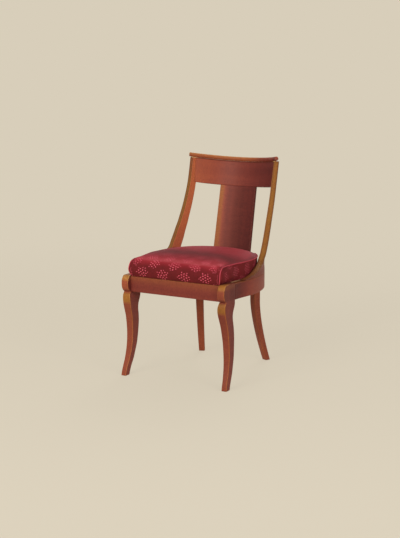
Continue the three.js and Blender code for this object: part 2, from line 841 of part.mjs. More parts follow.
// Two long screws rise from the underside of the side rail into the foot of the back post, one at
// each end of its tenon.
function stileScrewPlaces(side) {
  return [-1, 1].map((way) => {
    const reach = stile.tenonLength / 2 + tenonShoulder;
    const spot = ringPoint(ringShift(stileTenonAt, way * reach), ring.thickness / 2);
    return {
      head: new THREE.Vector3(side * spot.x, spot.y, railBottom + stileScrew.counterbore),
      toward: new THREE.Vector3(0, 0, 1),
      length: stileScrew.length,
      counterbore: stileScrew.counterbore + overrun,
    };
  });
}

// Lift-out seat: frame, webbing, canvas, stuffing, cover and welts

const frameBottom = blockTop + gap;
const frameTop = frameBottom + seat.frameThickness;
const frameNear = ring.thickness + seat.clearance;
const frameFar = frameNear + seat.frameWidth;
const frontBoardBack = post.depth + seat.clearance;
const sideFrom = ringAtY(frontBoardBack + gap);
const cushionBack = ringPoint(ringMiddle, frameNear).y;

// Middle third of the frame's thickness, where its tongues lie.
const tongue = [1, 2].map((k) => frameBottom + (seat.frameThickness * k) / 3);

function frontTongue(side, ease) {
  const inner = ringPoint(sideFrom, frameFar).x;
  const near = [side * (inner + tenonShoulder - ease), frontBoardBack - seat.lap - ease, tongue[0] - ease];
  const far = [side * (postInner - tenonShoulder + ease), frontBoardBack + tenonShoulder, tongue[1] + ease];
  return boxBetween(near, far);
}

function rearTongue(side, ease) {
  const from = ringShift(seat.jointPlace, -tenonShoulder);
  const to = ringShift(seat.jointPlace, seat.lap + ease);
  const [near, far] = [frameNear + tenonShoulder - ease, frameFar - tenonShoulder + ease];
  return ringStrip(side, from, to, near, far, tongue[0] - ease, tongue[1] + ease);
}

function seatFrameFront() {
  const half = postInner - seat.clearance;
  const front = frontRailBack + seat.clearance;
  const board = boxBetween([-half, front, frameBottom], [half, frontBoardBack, frameTop]);
  return cut(board, frontTongue(-1, gap), frontTongue(1, gap));
}

function seatFrameSide(side) {
  const to = ringShift(seat.jointPlace, -gap);
  const strip = ringStrip(side, sideFrom, to, frameNear, frameFar, frameBottom, frameTop);
  return join(strip, frontTongue(side, 0), rearTongue(side, 0));
}

function seatFrameBack() {
  const to = ringEnd - seat.jointPlace;
  const strip = ringStrip(1, seat.jointPlace, to, frameNear, frameFar, frameBottom, frameTop);
  return cut(strip, rearTongue(-1, gap), rearTongue(1, gap));
}

// Woven webbing: each strap goes over and under the straps that cross it.
const weave = (web.thickness + gap) / 2;
const webMiddle = frameTop + gap + web.thickness / 2 + weave;
const webTop = webMiddle + weave + web.thickness / 2;

function strap(from, to, crossings, firstUp) {
  const line = [[from, -weave]];
  crossings.forEach((spot, i) => {
    const lift = (i % 2 === 0) === firstUp ? weave : -weave;
    line.push([spot - web.width / 2, lift], [spot + web.width / 2, lift]);
  });
  line.push([to, -weave]);
  const above = line.map(([u, z]) => new THREE.Vector2(u, z + web.thickness / 2));
  const below = line.map(([u, z]) => new THREE.Vector2(u, z - web.thickness / 2)).reverse();
  const outline = new THREE.Shape([...above, ...below]);
  return new THREE.ExtrudeGeometry(outline, { depth: web.width, bevelEnabled: false });
}

function addWebbing() {
  const across = strapAcrossShares.map((share) => share * ringHalf);
  const back = strapBackShares.map((share) => mix(frontBoardBack, cushionBack, share));
  const upAlongX = new THREE.Matrix4().makeRotationX(Math.PI / 2);
  const upAlongY = new THREE.Matrix4().makeRotationZ(Math.PI / 2).multiply(upAlongX);
  back.forEach((y, i) => {
    const reach = ringSpot((spot) => spot.y > y + web.width / 2, frameNear).x - web.landing;
    const ribbon = strap(-reach, reach, across, i % 2 === 0).applyMatrix4(upAlongX);
    add(`webbing_cross_${i + 1}`, ribbon.translate(0, y + web.width / 2, webMiddle), linen);
  });
  across.forEach((x, i) => {
    const outer = Math.abs(x) + web.width / 2;
    const rear = ringSpot((spot) => spot.y > ringWidestAt && spot.x < outer, frameNear).y - web.landing;
    const ribbon = strap(frontBoardBack - web.landing, rear, back, i % 2 === 1).applyMatrix4(upAlongY);
    add(`webbing_long_${i + 1}`, ribbon.translate(x - web.width / 2, 0, webMiddle), linen);
  });
}

// Half outline of the cushion, from the middle of the front to the middle of the back. Each spot has
// a share that says how much it belongs to the front edge.
function cushionOutline() {
  const sideX = postInner - cushion.postClearance;
  const frontY = cushion.frontFace;
  const spots = [];
  const frontSteps = 4;
  const cornerSteps = 3;
  for (let i = 0; i < frontSteps; i++)
    spots.push({ at: new THREE.Vector2((sideX - cushion.corner) * (i / frontSteps), frontY), frontness: 1 });
  for (let i = 0; i <= cornerSteps; i++) {
    const angle = ((i / cornerSteps) * Math.PI) / 2;
    const x = sideX - cushion.corner * (1 - Math.sin(angle));
    const y = frontY + cushion.corner * (1 - Math.cos(angle));
    spots.push({ at: new THREE.Vector2(x, y), frontness: 1 - smooth(i / cornerSteps) });
  }
  spots.push({ at: new THREE.Vector2(sideX, post.depth), frontness: 0 });
  const sideSteps = 12;
  const first = ringAtY(frontBoardBack + post.width);
  for (let i = 0; i <= sideSteps; i++) {
    const t = mix(first, ringMiddle, i / sideSteps);
    spots.push({ at: ringPoint(t, frameNear), frontness: 0 });
  }
  return spots;
}

const cushionHalf = cushionOutline();
const cushionCentre = new THREE.Vector2(0, (cushion.frontFace + cushionBack) / 2);

// Height of the cushion's crown line over a place, falling towards the back.
function cushionRise(y) {
  const back = smooth((y - cushionCentre.y / 2) / (cushion.fallReachShare * cushionCentre.y));
  return cushion.rise * (1 - cushion.rearFallShare * back);
}

// The side bulge dies out where the back posts stand beside the cushion.
function cushionSpot({ at, frontness }, [levelShare, sideShare, frontShare], base, skin) {
  const bulgeKept = 1 - smooth((at.y - post.depth) / post.depth);
  const sideInset = sideShare < 0 ? sideShare * bulgeKept : sideShare;
  const inset = mix(sideInset, frontShare, frontness) * cushion.rise + skin;
  const spot = at.clone().sub(cushionCentre);
  spot.setLength(Math.max(spot.length() - inset, arris)).add(cushionCentre);
  const crown = railTop + levelShare * cushionRise(spot.y) - skin;
  return new THREE.Vector3(spot.x, spot.y, levelShare ? Math.max(crown, base) : base);
}

// The cushion's skin, set in by a thickness, closed from its foot to its crown.
function cushionBody(base, skin) {
  const rings = cushionShares.map((row) => {
    const right = cushionHalf.map((spot) => cushionSpot(spot, row, base, skin));
    const left = right.slice(1, -1).reverse().map((p) => new THREE.Vector3(-p.x, p.y, p.z));
    return [...right, ...left];
  });
  const rise = railTop + crownShare * cushionRise(cushionCentre.y) - skin;
  rings.push(rings.at(-1).map((p) => {
    const middle = new THREE.Vector3(0, cushionCentre.y, rise);
    return p.clone().lerp(middle, 1 - arris / cushion.rise);
  }));
  return loft(rings);
}

const canvasBottom = webTop + gap;
const stuffingBottom = canvasBottom + canvas.thickness + gap;
const coverBottom = railTop + 2 * gap;

function canvasPiece() {
  const levels = [canvasBottom, canvasBottom + canvas.thickness];
  return loft(levels.map((z) => {
    const right = cushionHalf.map(({ at }) => {
      const spot = at.clone().sub(cushionCentre);
      return spot.setLength(spot.length() - canvas.inset).add(cushionCentre);
    });
    const left = right.slice(1, -1).reverse().map((p) => new THREE.Vector2(-p.x, p.y));
    return [...right, ...left].map(({ x, y }) => new THREE.Vector3(x, Math.max(y, frontRailBack), z));
  }));
}

function coverPiece() {
  return cut(cushionBody(coverBottom, 0), cushionBody(coverBottom - overrun, cushion.cover));
}

// Welt: up the front corner, then back along the top edge of the side, lying on the cover's skin.
function weltPiece(side) {
  const away = welt.radius + welt.clearance;
  const cornerStart = cushionHalf.findIndex(({ frontness }) => frontness < 1);
  const outward = (index) => {
    const along = cushionHalf[index + 1].at.clone().sub(cushionHalf[index - 1].at);
    return new THREE.Vector3(along.y, -along.x, 0).normalize();
  };
  const spotOn = (index, row, lean) => {
    const skin = cushionSpot(cushionHalf[index], cushionShares[row], coverBottom, 0);
    const off = outward(index).multiplyScalar(Math.cos(lean)).setZ(Math.sin(lean));
    return skin.addScaledVector(off, away);
  };
  const spots = cornerRows.map((row) => spotOn(cornerStart, row, 0));
  spots.push(spotOn(cornerStart, edgeRow, Math.PI / 4));
  for (let index = cornerStart + 1; ringAtY(cushionHalf[index].at.y) < welt.endPlace; index++)
    spots.push(spotOn(index, edgeRow, Math.PI / 4));
  const path = new THREE.CatmullRomCurve3(spots.map((spot) => spot.setX(side * spot.x)));
  const round = new THREE.Shape().absarc(0, 0, welt.radius, 0, 2 * Math.PI);
  return new THREE.ExtrudeGeometry(round, { extrudePath: path, steps: 30, curveSegments: welt.sides / 2 });
}

// Assembly

add("front_rail", frontRailPiece(), wood);
add("rear_rail", rearRail(), wood);
add("crest_tablet", tabletPiece(), wood);
add("crest_fillet", filletPiece(), wood);
add("crest_roll", rollPiece(), wood);
add("splat", splatPiece(), wood);
for (const [name, side] of sides) {
  add(`front_leg_${name}`, frontPost(side), wood);
  add(`rear_leg_${name}`, rearLegPiece(side), wood);
  add(`side_rail_${name}`, sideRail(side), wood);
  add(`back_post_${name}`, stilePiece(side), wood);
  add(`rail_key_${name}`, railKey(side, 0), innerWood);
  add(`crest_dowel_${name}`, dowelPiece(side), innerWood);
  add(`front_block_${name}`, cornerBlock(side), innerWood);
  add(`rear_block_${name}`, jointBlock(side), innerWood);
  const groups = [
    ["front_block", blockScrewPlaces(side)],
    ["rear_block", jointScrewPlaces(side)],
    ["back_post", stileScrewPlaces(side)],
  ];
  for (const [group, places] of groups)
    places.forEach((place, i) => add(`${group}_screw_${name}_${i + 1}`, screwPiece(place), steel));
  add(`seat_frame_${name}`, seatFrameSide(side), innerWood);
  add(`seat_welt_${name}`, weltPiece(side), damask);
}
add("seat_frame_front", seatFrameFront(), innerWood);
add("seat_frame_back", seatFrameBack(), innerWood);
addWebbing();
add("seat_canvas", canvasPiece(), linen);
add("seat_stuffing", cushionBody(stuffingBottom, cushion.cover + gap), hair);
add("seat_cover", coverPiece(), damask);

const reachOfChair = new THREE.Box3().setFromObject(chair);
const middle = reachOfChair.getCenter(new THREE.Vector3());
chair.position.set(-middle.x, -middle.y, -reachOfChair.min.z);
chair.updateMatrixWorld(true);

export default chair;
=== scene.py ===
# A gondola side chair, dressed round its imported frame: polished mahogany outside, bare beech inside,
# a woven bottom to the seat and a stuffed top in crimson damask. Shapes are worked out in millimetres
# from the front of the chair, and toFrame puts them in their place in metres.
import math
import bmesh
import bpy
import numpy as np
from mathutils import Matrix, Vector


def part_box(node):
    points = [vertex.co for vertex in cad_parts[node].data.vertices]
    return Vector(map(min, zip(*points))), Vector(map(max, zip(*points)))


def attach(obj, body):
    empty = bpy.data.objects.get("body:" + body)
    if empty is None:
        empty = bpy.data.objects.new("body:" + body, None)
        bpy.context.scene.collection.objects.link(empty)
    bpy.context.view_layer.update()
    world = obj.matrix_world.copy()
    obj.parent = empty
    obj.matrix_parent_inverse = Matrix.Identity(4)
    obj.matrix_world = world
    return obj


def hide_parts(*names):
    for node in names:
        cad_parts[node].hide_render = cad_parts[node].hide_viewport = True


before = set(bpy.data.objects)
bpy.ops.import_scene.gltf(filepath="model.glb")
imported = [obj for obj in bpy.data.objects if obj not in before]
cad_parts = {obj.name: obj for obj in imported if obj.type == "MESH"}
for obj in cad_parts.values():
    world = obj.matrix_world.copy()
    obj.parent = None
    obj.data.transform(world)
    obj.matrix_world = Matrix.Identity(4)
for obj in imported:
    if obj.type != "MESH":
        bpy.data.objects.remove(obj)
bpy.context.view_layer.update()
print("frame loaded")

chair = {
    "height": 838.0,
    "frontHalf": 225.0,
    "railBottom": 335.0,
    "railTop": 396.0,
    "railThickness": 25.0,
    "railArris": 2.0,
    "postWidth": 29.0,
    "postDepth": 70.0,
    "postRise": 4.0,
    "backReach": 475.0,
    "rake": math.radians(12),
    "gap": 0.3,
}
railBottom, railTop, gap = chair["railBottom"], chair["railTop"], chair["gap"]
frontHalf, postDepth, backReach = chair["frontHalf"], chair["postDepth"], chair["backReach"]
cosRake, sinRake = math.cos(chair["rake"]), math.sin(chair["rake"])
frontRailBack = 28.0
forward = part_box("front_rail")[1].y * 1000 - frontRailBack
sides = [("Left", "left", -1), ("Right", "right", 1)]


# Number helpers

def toFrame(points):
    # millimetres from the chair's front to metres in the frame
    return (np.asarray(points, float) + [0, forward, 0]) * 0.001


def rising(value, start=0.0, reach=1.0):
    # an S curve from 0 at the start to 1 a reach further on
    held = np.clip((value - start) / reach, 0, 1)
    return held * held * (3 - 2 * held)


def mix(low, high, share):
    # a share of the way from one to the other
    return low + (high - low) * share


def stacked(*parts):
    # several arrays of the same grid, broadcast and stacked as the numbers of a spot
    return np.stack(np.broadcast_arrays(*parts), -1)


def through(table, at):
    # a cubic between the rows of a table; its slope at a row is the mean slope of its neighbours
    table = np.asarray(table, float)
    knots, values = table[:, 0], table[:, 1:]
    slopes = np.gradient(values, knots, axis=0)
    row = np.clip(np.searchsorted(knots, at) - 1, 0, len(knots) - 2)
    span = (knots[row + 1] - knots[row])[:, None]
    s = (np.asarray(at) - knots[row])[:, None] / span
    ends = (2 * s**3 - 3 * s**2 + 1) * values[row] + (3 * s**2 - 2 * s**3) * values[row + 1]
    return ends + ((s**3 - 2 * s**2 + s) * slopes[row] + (s**3 - s**2) * slopes[row + 1]) * span


def walked(points):
    # length walked along a line of points, at each point
    return np.concatenate([[0], np.cumsum(np.linalg.norm(np.diff(points, axis=0), axis=1))])


def quarterTurn(count):
    # angles from 0 to a right angle
    return np.linspace(0, math.pi / 2, count)


def fullTurn(count):
    # angles round a circle, without the last, which is the first again
    return np.linspace(0, 2 * math.pi, count + 1)[:-1]


def easedEnds(low, high, radius, steps=4):
    # places and insets of the rows that round off both ends of a piece by a quarter circle
    turn = quarterTurn(steps)
    inset, off = radius * (1 - np.sin(turn)), radius * (1 - np.cos(turn))
    return low + off, inset, high - off[::-1], inset[::-1]


def easedRun(low, high, radius, count, steps=4):
    # places from one end to the other, and the inset at each: eased at both ends, even between
    start, startInset, end, endInset = easedEnds(low, high, radius, steps)
    inner = np.linspace(start[-1], end[0], count)[1:-1]
    return (np.concatenate([start, inner, end])[:, None],
            np.concatenate([startInset, 0 * inner, endInset])[:, None])


def easedLoop(alongSteps=4, backSteps=4, cornerSteps=5):
    # A loop round a unit square with rounded corners, counter-clockwise. Columns: place along and
    # back, how many corner radii it is pushed in along and back, its outward direction, and how
    # near it is to a corner's middle.
    turn = quarterTurn(cornerSteps)
    cosine, sine = np.cos(turn), np.sin(turn)
    c, s = 1 - cosine, 1 - sine
    corners = [stacked(*corner, np.sin(2 * turn)) for corner in (
        (0, 0, c, s, -cosine, -sine), (1, 0, -s, c, sine, -cosine),
        (1, 1, -c, -s, cosine, sine), (0, 1, s, -c, -sine, cosine))]
    parts = []
    for k, corner in enumerate(corners):
        after = corners[(k + 1) % 4]
        share = np.linspace(0, 1, (alongSteps, backSteps)[k % 2] + 2)[1:-1, None]
        parts += [corner, mix(np.r_[corner[-1, :6], 0], np.r_[after[0, :4], corner[-1, 4:6], 0], share)]
    return np.concatenate(parts)


def between(low, high, inset, share, push):
    # a spot between two faces, both drawn in by the inset, and pushed in at a rounded corner
    return low + inset + share * (high - low - 2 * inset) + push


def facing(loop, column, sign=1):
    # how far each spot of a loop faces one way
    return np.clip(sign * loop[:, column], 0, 1)


# Mesh helpers

def bandQuads(at):
    # quads between neighbouring rows of closed loops of point numbers
    beside = np.roll(at, -1, axis=1)
    return np.stack([at[:-1], beside[:-1], beside[1:], at[1:]], -1).reshape(-1, 4)


def gridQuads(wide):
    # quads between the points of a square grid
    at = np.arange(wide * wide).reshape(wide, wide)
    return np.stack([at[:-1, :-1], at[1:, :-1], at[1:, 1:], at[:-1, 1:]], -1).reshape(-1, 4)


def enclosed(points, faces):
    # six times the volume inside a closed skin, from the fans of its faces
    fans = np.array([(f[0], f[i], f[i + 1]) for f in faces for i in range(1, len(f) - 1)])
    a, b, c = points[fans[:, 0]], points[fans[:, 1]], points[fans[:, 2]]
    return float(np.einsum("ij,ij->", a, np.cross(b, c)))


def meshOf(name, points, faces, sharpAngle=38.0):
    # a mesh from spots in millimetres, with its faces turned outwards
    points = toFrame(points).reshape(-1, 3)
    if enclosed(points - points.mean(0), faces) < 0:
        faces = [f[::-1] for f in faces]
    mesh = bpy.data.meshes.new(name)
    mesh.from_pydata(points.tolist(), [], faces)
    mesh.polygons.foreach_set("use_smooth", [len(f) == 4 for f in faces])
    mesh.set_sharp_from_angle(angle=math.radians(sharpAngle))
    mesh.update()
    return mesh


def skinOf(name, rows):
    # a closed skin over rows of spots, with one face over each end
    at = np.arange(rows.shape[0] * rows.shape[1]).reshape(rows.shape[:2])
    return meshOf(name, rows, bandQuads(at).tolist() + [at[0, ::-1].tolist(), at[-1].tolist()])


def mark(mesh, name, values, kind="FLOAT"):
    # a value, or a spot, kept for each point of a mesh
    field = "vector" if kind == "FLOAT_VECTOR" else "value"
    data = mesh.attributes.new(name, kind, "POINT").data
    data.foreach_set(field, np.asarray(values, np.float32).ravel())


def linked(name, data):
    # a new object in the scene
    thing = bpy.data.objects.new(name, data)
    bpy.context.scene.collection.objects.link(thing)
    return thing


def place(name, mesh, body, material, nodes):
    # a finished piece on its body, with its material, for the nodes that it stands for
    piece = linked(name, mesh)
    mesh.materials.clear()
    mesh.materials.append(material)
    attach(piece, body)
    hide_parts(*nodes)
    return piece


# Material helpers; sums on sockets are made in the tree that the sockets belong to

def socketOf(tree, node, name, value):
    # an input takes a link from a socket, or a plain value
    if isinstance(value, bpy.types.NodeSocket):
        tree.links.new(value, node.inputs[name])
    else:
        node.inputs[name].default_value = value


def put(tree, kind, inputs=None, **settings):
    # a new node with its settings and inputs; what comes back is its outputs
    node = tree.nodes.new(kind)
    for key, value in settings.items():
        setattr(node, key, value)
    for key, value in (inputs or {}).items():
        socketOf(tree, node, key, value)
    return node.outputs


def calc(operation, a, b=0.0, clamp=False):
    tree = (a if isinstance(a, bpy.types.NodeSocket) else b).id_data
    return put(tree, "ShaderNodeMath", {0: a, 1: b}, operation=operation, use_clamp=clamp)[0]


def plus(a, b, clamp=False):
    return calc("ADD", a, b, clamp)


def minus(a, b):
    return calc("SUBTRACT", a, b)


def times(a, b):
    return calc("MULTIPLY", a, b)


def sway(value, amount):
    # a noise about its middle, made larger or smaller
    return times(minus(value, 0.5), amount)


def vectorCalc(operation, a, b=(0, 0, 0), c=(0, 0, 0)):
    return put(a.id_data, "ShaderNodeVectorMath", {0: a, 1: b, 2: c}, operation=operation)


def stretched(vector, shape):
    return vectorCalc("MULTIPLY", vector, shape)[0]


def scaled(vector, factor):
    return put(vector.id_data, "ShaderNodeVectorMath", {0: vector, "Scale": factor}, operation="SCALE")[0]


def joined(tree, x=0.0, y=0.0):
    # a spot from its numbers
    return put(tree, "ShaderNodeCombineXYZ", {"X": x, "Y": y})[0]


def ranged(value, low, high):
    # a smooth step of a value between two bounds
    inputs = {"Value": value, "From Min": low, "From Max": high}
    return put(value.id_data, "ShaderNodeMapRange", inputs, interpolation_type="SMOOTHSTEP")[0]


def noise(vector, scale=1.0, detail=3.0, roughness=0.55, output=0):
    inputs = {"Vector": vector, "Scale": scale, "Detail": detail, "Roughness": roughness}
    return put(vector.id_data, "ShaderNodeTexNoise", inputs)[output]


def blended(share, low, high):
    return put(share.id_data, "ShaderNodeMix", {0: share, 6: low, 7: high}, data_type="RGBA")[2]


def linear(color):
    # a colour as seen on a screen, 0 to 255, as light
    share = np.asarray(color, float) / 255
    light = np.where(share <= 0.04045, share / 12.92, ((share + 0.055) / 1.055) ** 2.4)
    return (*light.tolist(), 1.0)


def ramp(value, stops):
    outputs = put(value.id_data, "ShaderNodeValToRGB", {"Fac": value})
    elements = outputs[0].node.color_ramp.elements
    while len(elements) < len(stops):
        elements.new(0.5)
    for element, (spot, color) in zip(elements, stops):
        element.position, element.color = spot, linear(color)
    return outputs[0]


def newGroup(name, **takes):
    # a node group, its inputs given by name and kind
    tree = bpy.data.node_groups.new(name, "ShaderNodeTree")
    for socket, kind in takes.items():
        tree.interface.new_socket(socket, in_out="INPUT", socket_type="NodeSocket" + kind)
    return tree, tree.nodes.new("NodeGroupInput").outputs


def gives(tree, **values):
    # the outputs of a node group, numbers that change over the surface
    for socket in values:
        tree.interface.new_socket(socket, in_out="OUTPUT", socket_type="NodeSocketFloat")
    go = tree.nodes.new("NodeGroupOutput")
    for socket, value in values.items():
        socketOf(tree, go, socket, value)
    return tree


def useGroup(tree, group, **inputs):
    return put(tree, "ShaderNodeGroup", inputs, node_tree=group)


def newMaterial(name, **plain):
    # a material and its tree; the shader's constant numbers are given by socket name
    material = bpy.data.materials.new(name)
    material.use_nodes = True
    for key, value in plain.items():
        material.node_tree.nodes["Principled BSDF"].inputs[key].default_value = value
    return material, material.node_tree


def finish(material, color, rough, height=None, strength=0.0, distance=0.0):
    # the shader's colour, roughness and relief
    tree = material.node_tree
    shader = tree.nodes["Principled BSDF"]
    socketOf(tree, shader, "Base Color", color)
    socketOf(tree, shader, "Roughness", rough)
    if height is not None:
        relief = {"Height": height, "Strength": strength, "Distance": distance}
        socketOf(tree, shader, "Normal", put(tree, "ShaderNodeBump", relief)[0])
    return material


def kept(tree, name, output="Fac"):
    # a value that is kept on the piece
    return put(tree, "ShaderNodeAttribute", attribute_name=name)[output]


# Shared effects

def sawnWoodGroup():
    # Figure of sawn wood at a spot whose first number runs along the grain, in metres: long streaks,
    # a slow ribbon across them, faint cross shading, and pores as short dark dashes.
    tree, come = newGroup("sawnWood", Spot="Vector", Streaks="Float", Pores="Float")
    drift = noise(stretched(come["Spot"], (4, 10, 10)), detail=2.0)
    bent = vectorCalc("ADD", come["Spot"], joined(tree, y=times(drift, 0.012)))[0]
    streak = noise(scaled(stretched(bent, (3, 1, 1)), come["Streaks"]), 1.0, 4.0, 0.6)
    fine = noise(stretched(bent, (9, 420, 420)), detail=2.0)
    ribbon = noise(stretched(bent, (1.6, 34, 34)), detail=1.0)
    cross = noise(stretched(come["Spot"], (70, 9, 9)), detail=1.0)
    figure = times(streak, 0.42)
    for part, weight in ((fine, 0.16), (ribbon, 0.3), (cross, 0.12)):
        figure = plus(figure, times(part, weight))
    dash = noise(stretched(bent, (130, 1500, 1500)), detail=1.0)
    pore = times(ranged(dash, 0.6, 0.7), come["Pores"])
    return gives(tree, Figure=figure, Pore=pore, Height=minus(times(fine, 0.3), pore))


def wearAndHighlightGroup():
    # Where hands and dusters have thinned the polish at the edges, and where painted highlights run along
    # them: the arris mark broken up by a slow noise.
    tree, come = newGroup("wearAndHighlight", Spot="Vector", Edge="Float")
    mask = plus(times(come["Edge"], 1.1), sway(noise(come["Spot"], 28.0), 0.9))
    return gives(tree, Mask=ranged(mask, 0.35, 1.0))


def weaveGroup():
    # Plain weave at a spot in metres on the cloth: warp and weft threads pass over each other in a
    # checker, each as round as half a sine wave, with thicker and thinner stretches.
    tree, come = newGroup("weave", Spot="Vector", Threads="Float")
    counted = scaled(come["Spot"], come["Threads"])
    x, y, _ = put(tree, "ShaderNodeSeparateXYZ", {0: counted})
    warp = calc("MODULO", calc("ABSOLUTE", plus(calc("FLOOR", x), calc("FLOOR", y))), 2.0)
    across, along = (calc("ABSOLUTE", calc("SINE", times(v, math.pi))) for v in (x, y))
    height = put(tree, "ShaderNodeMix", {0: warp, 2: along, 3: across}, data_type="FLOAT")[0]
    slub = noise(stretched(counted, (0.5, 0.03, 1)), detail=2.0)
    return gives(tree, Height=height, Warp=warp, Slub=slub)


def sprigGroup(pitchAcross, pitchRows, firstRow, leaves):
    # Sprigs in staggered rows: the spot on the cloth, in millimetres, is folded into one cell, turned
    # a little by the cell's own chance, and set against a spray of small leaves, each the room
    # between two parabolas: across plus the square of along is less than one.
    tree, come = newGroup("sprig", Spot="Vector")
    x, y, _ = put(tree, "ShaderNodeSeparateXYZ", {0: come["Spot"]})
    down = calc("DIVIDE", plus(y, pitchRows / 2 - firstRow), pitchRows)
    row = calc("FLOOR", down)
    odd = calc("MODULO", calc("ABSOLUTE", row), 2.0)
    over = plus(calc("DIVIDE", x, pitchAcross), times(odd, 0.5))
    column = calc("FLOOR", over)
    chance = put(tree, "ShaderNodeTexWhiteNoise", {"Vector": joined(tree, column, row)})[0]
    cell = joined(tree, sway(minus(over, column), pitchAcross), sway(minus(down, row), pitchRows))
    turned = put(tree, "ShaderNodeVectorRotate", {"Vector": cell, "Angle": sway(chance, 5.0)},
                 rotation_type="Z_AXIS")[0]
    wavy = vectorCalc("SUBTRACT", noise(come["Spot"], 0.3, 2.0, output=1), (0.5, 0.5, 0.5))[0]
    rough = vectorCalc("ADD", turned, scaled(wavy, 3.0))[0]
    mask = 0.0
    for x, y, angle, length, width in leaves:
        folded = vectorCalc("ABSOLUTE", put(tree, "ShaderNodeMapping", {
            "Vector": rough, "Location": (x, y, 0), "Rotation": (0, 0, math.radians(angle)),
            "Scale": (length / 2, width / 2, 1)}, vector_type="TEXTURE")[0])[0]
        curve = vectorCalc("MULTIPLY_ADD", folded, (1, 0, 0), (0, 1, 0))[0]
        mask = calc("MAXIMUM", minus(1.25, vectorCalc("DOT_PRODUCT", folded, curve)["Value"]), mask)
    return gives(tree, Mask=ranged(mask, 0.1, 0.5))


sawnWood, wearAndHighlight, weave = sawnWoodGroup(), wearAndHighlightGroup(), weaveGroup()


# Mahogany

def mahoganyMaterial(tones):
    # The tone kept on each piece carries painted light and shade as well as the wood's own colour; it is
    # shifted by the figure and by the arris mark, which is both wear and painted highlights along the
    # edges, and read as a colour between the wood's own red and the gold that it fades to where light and
    # hands have been, which also serves for painted highlights.
    material, tree = newMaterial("polishedMahogany", **{
        "Coat Weight": 0.05, "Coat Roughness": 0.3, "Specular IOR Level": 0.26,
        "Specular Tint": linear((255, 205, 175))})
    spot, fade = kept(tree, "grainSpot", "Vector"), kept(tree, "fadedAndLit")
    figure = useGroup(tree, sawnWood, Spot=spot, Streaks=80.0, Pores=1.0)
    rubbedAndLit = useGroup(tree, wearAndHighlight, Spot=spot, Edge=kept(tree, "arris"))["Mask"]
    tone = plus(plus(kept(tree, "tone"), sway(figure["Figure"], 0.55)), times(rubbedAndLit, 0.22), True)
    fadedAndLit = plus(plus(fade, times(sway(noise(spot, 16.0), 0.8), fade)), times(rubbedAndLit, 0.55), True)
    color = blended(fadedAndLit, ramp(tone, tones["red"]), ramp(tone, tones["fadedAndLit"]))
    color = blended(times(figure["Pore"], 0.45), color, linear(tones["pore"]))
    rough = plus(plus(0.44, times(figure["Figure"], 0.12)), times(rubbedAndLit, 0.08))
    return finish(material, color, rough, figure["Height"], 0.25, 0.0004)


mahogany = mahoganyMaterial({
    "red": [(0.0, (50, 17, 19)), (0.2, (83, 32, 31)), (0.4, (112, 47, 41)), (0.6, (142, 66, 50)),
            (0.8, (172, 85, 54)), (1.0, (198, 111, 66))],
    # the gold ramp, for wood that light has bleached and for painted highlights
    "fadedAndLit": [(0.0, (76, 44, 20)), (0.4, (118, 74, 28)), (0.7, (158, 106, 42)), (1.0, (212, 176, 122))],
    "pore": (48, 18, 16),
})


def woodPiece(name, rows, grain, tone, fadedAndLit, arris, nodes, mirror=1):
    # A mahogany piece from rows of points round its section; grain gives each point's spot in the
    # plank it was sawn from, along the grain first. Every piece is cut from another spot.
    mesh = skinOf(name, np.asarray(rows) * [mirror, 1, 1])
    shift = np.array([0.37, 0.11, 0.23]) * (1 + len(bpy.data.meshes))
    mark(mesh, "grainSpot", grain.reshape(-1, 3) * 0.001 + shift, "FLOAT_VECTOR")
    # the tone and the gold share carry painted light and shade as well as the wood's own colour; the
    # arris mark is wear and painted edge highlights
    for title, values in (("tone", tone), ("fadedAndLit", fadedAndLit), ("arris", arris)):
        mark(mesh, title, np.clip(np.broadcast_to(values, rows.shape[:2]), 0, 1))
    return place(name, mesh, "chair", mahogany, nodes)


# Front legs, each in one with its post: sections piled from the floor to the top

frontLeg = {
    "splay": 9.0,
    "arris": 2.2,
    "endEase": 1.4,
    "legRows": 84,
    "neckRows": 18,
    "noseRows": 46,
    # where the tone changes, as painted light and shade: a height, and how far above it the change is
    # whole
    "footLight": (60, 240),
    "postDark": (335, 8),
    "faceLight": (340, 8),
    "kneeFrom": (282, 20),
    "kneeTo": (326, 9),
    "noseFrom": (374, 16),
    "lit": 0.045,
    # height as a share of the rail's underside; front and rear face as shares of the post's depth;
    # width as a share of the post's width
    "leg": [
        (0.0, -0.19, 0.2, 0.74), (0.036, -0.16, 0.26, 0.73), (0.1, -0.06, 0.39, 0.72),
        (0.18, 0.09, 0.56, 0.78), (0.27, 0.21, 0.69, 0.84), (0.36, 0.28, 0.8, 0.9),
        (0.45, 0.3, 0.85, 0.95), (0.54, 0.28, 0.885, 0.98), (0.63, 0.22, 0.885, 1.03),
        (0.72, 0.13, 0.83, 1.07), (0.78, 0.03, 0.77, 1.1), (0.845, -0.07, 0.77, 1.15),
        (0.885, -0.115, 0.84, 1.17), (0.925, -0.136, 0.94, 1.15), (0.965, -0.107, 1.0, 1.08),
        (0.991, -0.03, 1.0, 1.03), (1.0, 0.0, 1.0, 1.0),
    ],
    # height as a share of the post; front face as a share of the post's depth
    "nose": [
        (0.0, 0.0), (0.046, -0.057), (0.14, -0.143), (0.26, -0.207), (0.42, -0.243), (0.6, -0.243),
        (0.75, -0.214), (0.86, -0.164), (0.94, -0.1), (0.985, -0.029), (1.0, 0.014),
    ],
}


